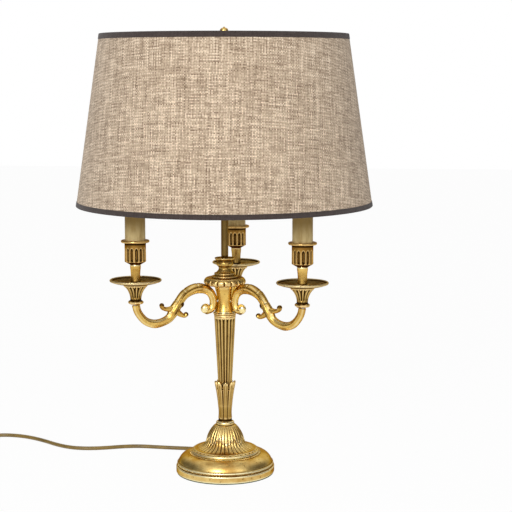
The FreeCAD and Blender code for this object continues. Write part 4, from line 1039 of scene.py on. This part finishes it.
def make_arm_end(number, degrees, finish):
    """The gilt pieces on one arm end, and its candle sleeve."""
    z = ARM_END_Z
    ribbed = outline(
        (END_BORE, z), (KNOP_R - 2.4, z), (KNOP_R, z + 1.8), (KNOP_R, z + 3.4), (KNOP_R - 2.0, z + 5.2),
        (KNOP_R - 2.6, z + 5.5), ((9.6, z + 16.0), (RIBBED_R, PAN_Z - 2.0)), (RIBBED_R - 0.4, PAN_Z),
        (END_BORE, PAN_Z), step=0.6,
    )
    z = PAN_Z
    rim = PAN_R
    lip = z + PAN_DEPTH
    pan = outline(
        (END_BORE, z), (16.8, z), ((rim - 8.0, z + 1.7), (rim - 0.8, z + 3.8)),
        ((rim, z + 5.2), (rim - 0.6, lip - 0.5)), (rim - 1.2, lip - 0.1), (rim - 1.9, lip - 0.6),
        (rim - 2.6, lip - 2.6), ((rim - 9.0, z + 2.8), (rim - 15.0, z + 1.8)), (END_BORE, z + 1.8), step=0.6,
    )
    z = STEM_Z
    stem = outline(
        (END_BORE, z), (8.2, z), ((8.5, z + 0.7), (7.8, z + 1.4)), (6.6, z + 1.9),
        ((6.2, z + 9.0), (7.0, z + 20.0)), (7.2, z + 24.6), (END_BORE, z + 24.6), step=0.7,
    )
    z = CUP_Z
    low, high = z + CUP_H, z + CUP_H + CUP_RIM_H
    cup = outline(
        (END_BORE, z), (7.3, z), (7.7, z + 0.3), (CUP_R, z + 4.0), (CUP_R + 0.1, z + 5.0), (CUP_R, low - 1.6),
        (CUP_R + 0.6, low - 0.6), (CUP_RIM_R - 0.6, low), ((CUP_RIM_R, low + 1.5), (CUP_RIM_R - 0.6, high)),
        (SLEEVE_R + 0.15, high), (SLEEVE_R + 0.15, high - 2.0), (CUP_BORE, high - 2.0), step=0.6,
    )
    inner = SLEEVE_R - SLEEVE_WALL
    sleeve = outline(
        (SLEEVE_R - 0.3, SLEEVE_Z + 0.05), (SLEEVE_R, SLEEVE_Z + 0.4), (SLEEVE_R, SLEEVE_TOP - 0.6),
        ((SLEEVE_R - 0.4, SLEEVE_TOP), (inner, SLEEVE_TOP - 0.5)), (inner, SLEEVE_TOP - 20.0), step=1.5,
    )
    # Painted shade: the far arm's stem takes the darker olive gilt, the others the brighter gilt.
    stem_finish = finish["olive_gilt" if number == FAR_ARM else "gilt"]
    cup_inside = [(CUP_BORE, CUP_Z + 8.0), (END_BORE, CUP_Z + 8.0)]
    olive = finish["olive_gilt"]
    pieces = []
    for part, profile, inside, segments, material, relief, passes, depth in (
        ("ribbed_cup", ribbed, [(END_BORE, CUP_Z - 20.0)], 280, olive, ribbed_relief, 26, 0.22),
        ("drip_pan", pan, [(END_BORE, PAN_Z + 0.9)], 200, finish["pan_gilt"], pan_relief, 16, 0.25),
        ("cup_stem", stem, [(END_BORE, STEM_Z + 12.0)], 96, stem_finish, None, 14, 0.25),
        ("candle_cup", cup, cup_inside, 252, finish["cup_gilt"], cup_relief, 18, 0.28),
    ):
        node = f"{part}_{number}"
        piece = turn(f"{node}_gilt", profile, inside, segments, material, relief, place=degrees)
        pieces.append((mark_hollows(piece, passes, depth), node))
    node = f"candle_sleeve_{number}"
    wax = turn(f"{node}_cream", sleeve, [(inner, SLEEVE_Z + 0.05)], 96, finish["candle_cream"], place=degrees)
    return pieces, (wax, node)


# Beads and twisted rings, made by one tree of repeats

def make_bead_ring():
    """Count beads round a circle, each stretched and tilted along it."""
    tree, given, made = new_group("bead_ring", {
        "Float": ["Radius", "Bead", "Tilt"], "Int": ["Count"], "Vector": ["Stretch", "Centre"],
        "Material": ["Finish"],
    }, {"Geometry": ["Geometry"]}, "GeometryNodeTree")
    circle = add(tree, "GeometryNodeCurvePrimitiveCircle", inputs={
        "Radius": given["Radius"], "Resolution": 64,
    })
    points = add(tree, "GeometryNodeCurveToPoints", {"mode": "COUNT"}, {
        "Curve": circle.outputs["Curve"], "Count": given["Count"],
    })
    bead = add(tree, "GeometryNodeMeshIcoSphere", inputs={"Radius": given["Bead"], "Subdivisions": 2})
    lean = add(tree, "ShaderNodeCombineXYZ", inputs={"X": 0.0, "Y": given["Tilt"], "Z": 0.0})
    turned = add(tree, "FunctionNodeRotateRotation", {"rotation_space": "LOCAL"}, {
        "Rotation": points.outputs["Rotation"], "Rotate By": lean.outputs[0],
    })
    beads = add(tree, "GeometryNodeInstanceOnPoints", inputs={
        "Points": points.outputs["Points"], "Instance": bead.outputs["Mesh"], "Rotation": turned.outputs[0],
        "Scale": given["Stretch"],
    })
    placed = add(tree, "GeometryNodeTransform", inputs={
        "Geometry": beads.outputs[0], "Translation": given["Centre"],
    })
    real = add(tree, "GeometryNodeRealizeInstances", inputs={"Geometry": placed.outputs[0]})
    smooth = add(tree, "GeometryNodeSetShadeSmooth", inputs={"Geometry": real.outputs[0]})
    coated = add(tree, "GeometryNodeSetMaterial", inputs={
        "Geometry": smooth.outputs[0], "Material": given["Finish"],
    })
    tree.links.new(coated.outputs[0], made["Geometry"])
    return tree


def bead_ring(name, tree, values):
    piece = in_scene(name, bpy.data.meshes.new(name))
    modifier = piece.modifiers.new("beads", "NODES")
    modifier.node_group = tree
    for socket in tree.interface.items_tree:
        if socket.item_type == "SOCKET" and socket.in_out == "INPUT":
            modifier[socket.identifier] = values[socket.name]
    seen = piece.evaluated_get(bpy.context.evaluated_depsgraph_get())
    piece.data = bpy.data.meshes.new_from_object(seen)
    piece.modifiers.clear()
    return piece


def make_beads(material):
    tree = make_bead_ring()
    rings = [
        ("foot_beads", BEAD_R - 0.9, 210, 0.7, (1.0, 1.0, 1.0), 0.0, (0.0, 0.0, FOOT_WALL + 2.8)),
        ("rope_ring", DOME_EDGE_R + 1.5, 130, 0.95, (0.9, 0.9, 1.4), 0.9, (0.0, 0.0, FOOT_TOP - 0.7)),
    ]
    for number, degrees in enumerate(ARM_ANGLES, 1):
        x, y = REACH * math.cos(math.radians(degrees)), REACH * math.sin(math.radians(degrees))
        rings.append((
            f"pan_beads_{number}", PAN_R - 1.0, 100, 1.0, (0.9, 1.0, 1.35), 0.7,
            (x, y, PAN_Z + PAN_DEPTH - 1.7),
        ))
    return [bead_ring(name, tree, {
        "Radius": radius * MM, "Count": count, "Bead": bead * MM, "Stretch": stretch, "Tilt": tilt,
        "Centre": tuple(c * MM for c in centre), "Finish": material,
    }) for name, radius, count, bead, stretch, tilt, centre in rings]


# Shade

def shade_radius(height, inset=0.0):
    return SHADE_BOTTOM_R - TAPE - inset - SHADE_LEAN * (height - SHADE_BOTTOM)


def lay_flat(piece):
    """UV map in metres of the shade opened out flat, with its seam at the back."""
    mesh = piece.data
    slope = SHADE_LEAN / math.hypot(1.0, SHADE_LEAN)
    uv = mesh.uv_layers.new(name="weave")
    for face in mesh.polygons:
        middle = math.atan2(face.center.x, -face.center.y)
        for corner in face.loop_indices:
            place = mesh.vertices[mesh.loops[corner].vertex_index].co
            angle = math.atan2(place.x, -place.y)
            angle += 2 * math.pi * round((middle - angle) / (2 * math.pi))
            reach = math.hypot(place.x, place.y) / slope
            uv.data[corner].uv = (reach * math.sin(angle * slope), UV_RAISE - reach * math.cos(angle * slope))


def make_shade(finish):
    low, high = SHADE_BOTTOM + TAPE, SHADE_BOTTOM + SHADE_HEIGHT - TAPE
    under = CLOTH - 0.05
    fabric = outline((shade_radius(low), low), (shade_radius(high), high), step=6.0, soften=0)
    inner = outline((shade_radius(high, under), high), (shade_radius(low, under), low), step=40.0, soften=0)
    linen = turn("shade_linen", fabric, inner.tolist(), 240, finish["shade_linen"], smooth_angle=60.0)
    shell = CLOTH + LINER
    tapes = []
    for name, edge, way, width in (
        ("bottom_tape", SHADE_BOTTOM, 1.0, BOTTOM_TAPE),
        ("top_tape", SHADE_BOTTOM + SHADE_HEIGHT, -1.0, TOP_TAPE),
    ):
        free, fold, corner = edge + width * way, edge + TAPE * way, edge + 0.5 * way
        profile = outline(
            (shade_radius(free), free), (shade_radius(free, -TAPE * 0.8), free),
            (shade_radius(edge, -TAPE), corner), (shade_radius(edge, -TAPE * 0.3), edge),
            (shade_radius(edge, shell + TAPE * 0.3), edge), (shade_radius(edge, shell + TAPE), corner),
            (shade_radius(free, shell + TAPE * 0.8), free), (shade_radius(free, shell), free), step=0.8,
        )
        closing = [(shade_radius(fold, shell), fold), (shade_radius(fold), fold)]
        if way > 0:
            profile, closing = profile[::-1], closing[::-1]
        tapes.append(turn(name, profile, closing, 240, finish["dark_tape"]))
    for piece in [linen] + tapes:
        lay_flat(piece)
    return linen, tapes


# Assembly

def keep_finishes(frame, finish):
    """The frame's own pieces that stay in view or inside, each with its finish."""
    kept = {
        "felt": ["felt_pad"], "iron_ballast": ["ballast_ring"], "holder_plastic": ["lamp_holders"],
        "plain_steel": ["tie_tube", "tie_nuts", "arm_fixings", "plug_pins"],
        "gold_cord": ["inner_cord", "arm_wires"], "antique_brass": ["shade_carrier", "thumb_screw"],
        "base_gilt": ["finial"], "frame_wire": ["spider_ring", "bottom_wire"], "shade_liner": ["shade_liner"],
        "switch_plastic": ["switch_base", "switch_cover", "switch_rocker", "plug_body", "cord_relief"],
        "bulb_glass": ["bulb_glass_1", "bulb_glass_2", "bulb_glass_3"],
        "bulb_brass": ["bulb_cap_1", "bulb_cap_2", "bulb_cap_3"],
    }
    for key, names in kept.items():
        for name in names:
            for slot in frame["nodes"][name].material_slots:
                slot.material = finish[key]


def main():
    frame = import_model()
    make_camera()
    finish = make_materials()
    cord = make_cord(finish["gold_cord"])
    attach(cord, "lamp")
    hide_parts("cord_to_switch", "cord_to_coil", "cord_coil")
    make_studio()
    make_floor()
    keep_finishes(frame, finish)
    gilt = make_base(finish) + make_column(finish)
    sleeves = []
    for number, degrees in enumerate(ARM_ANGLES, 1):
        gilt.append((make_arm(number, degrees, finish["gilt"]), f"arm_{number}"))
        pieces, sleeve = make_arm_end(number, degrees, finish)
        gilt += pieces
        sleeves.append(sleeve)
    gilt.append((make_rod(finish["antique_brass"]), "shade_rod"))
    join(gilt, "lamp")
    join(sleeves, "lamp")
    for piece in make_beads(finish["base_gilt"]):
        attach(piece, "lamp")
    linen, tapes = make_shade(finish)
    join([(linen, "shade_fabric")], "shade")
    join(zip(tapes, ("bottom_trim", "top_trim")), "shade")


def join(pieces, body):
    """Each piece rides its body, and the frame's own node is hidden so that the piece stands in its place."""
    for piece, node in pieces:
        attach(piece, body)
        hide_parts(node)


main()
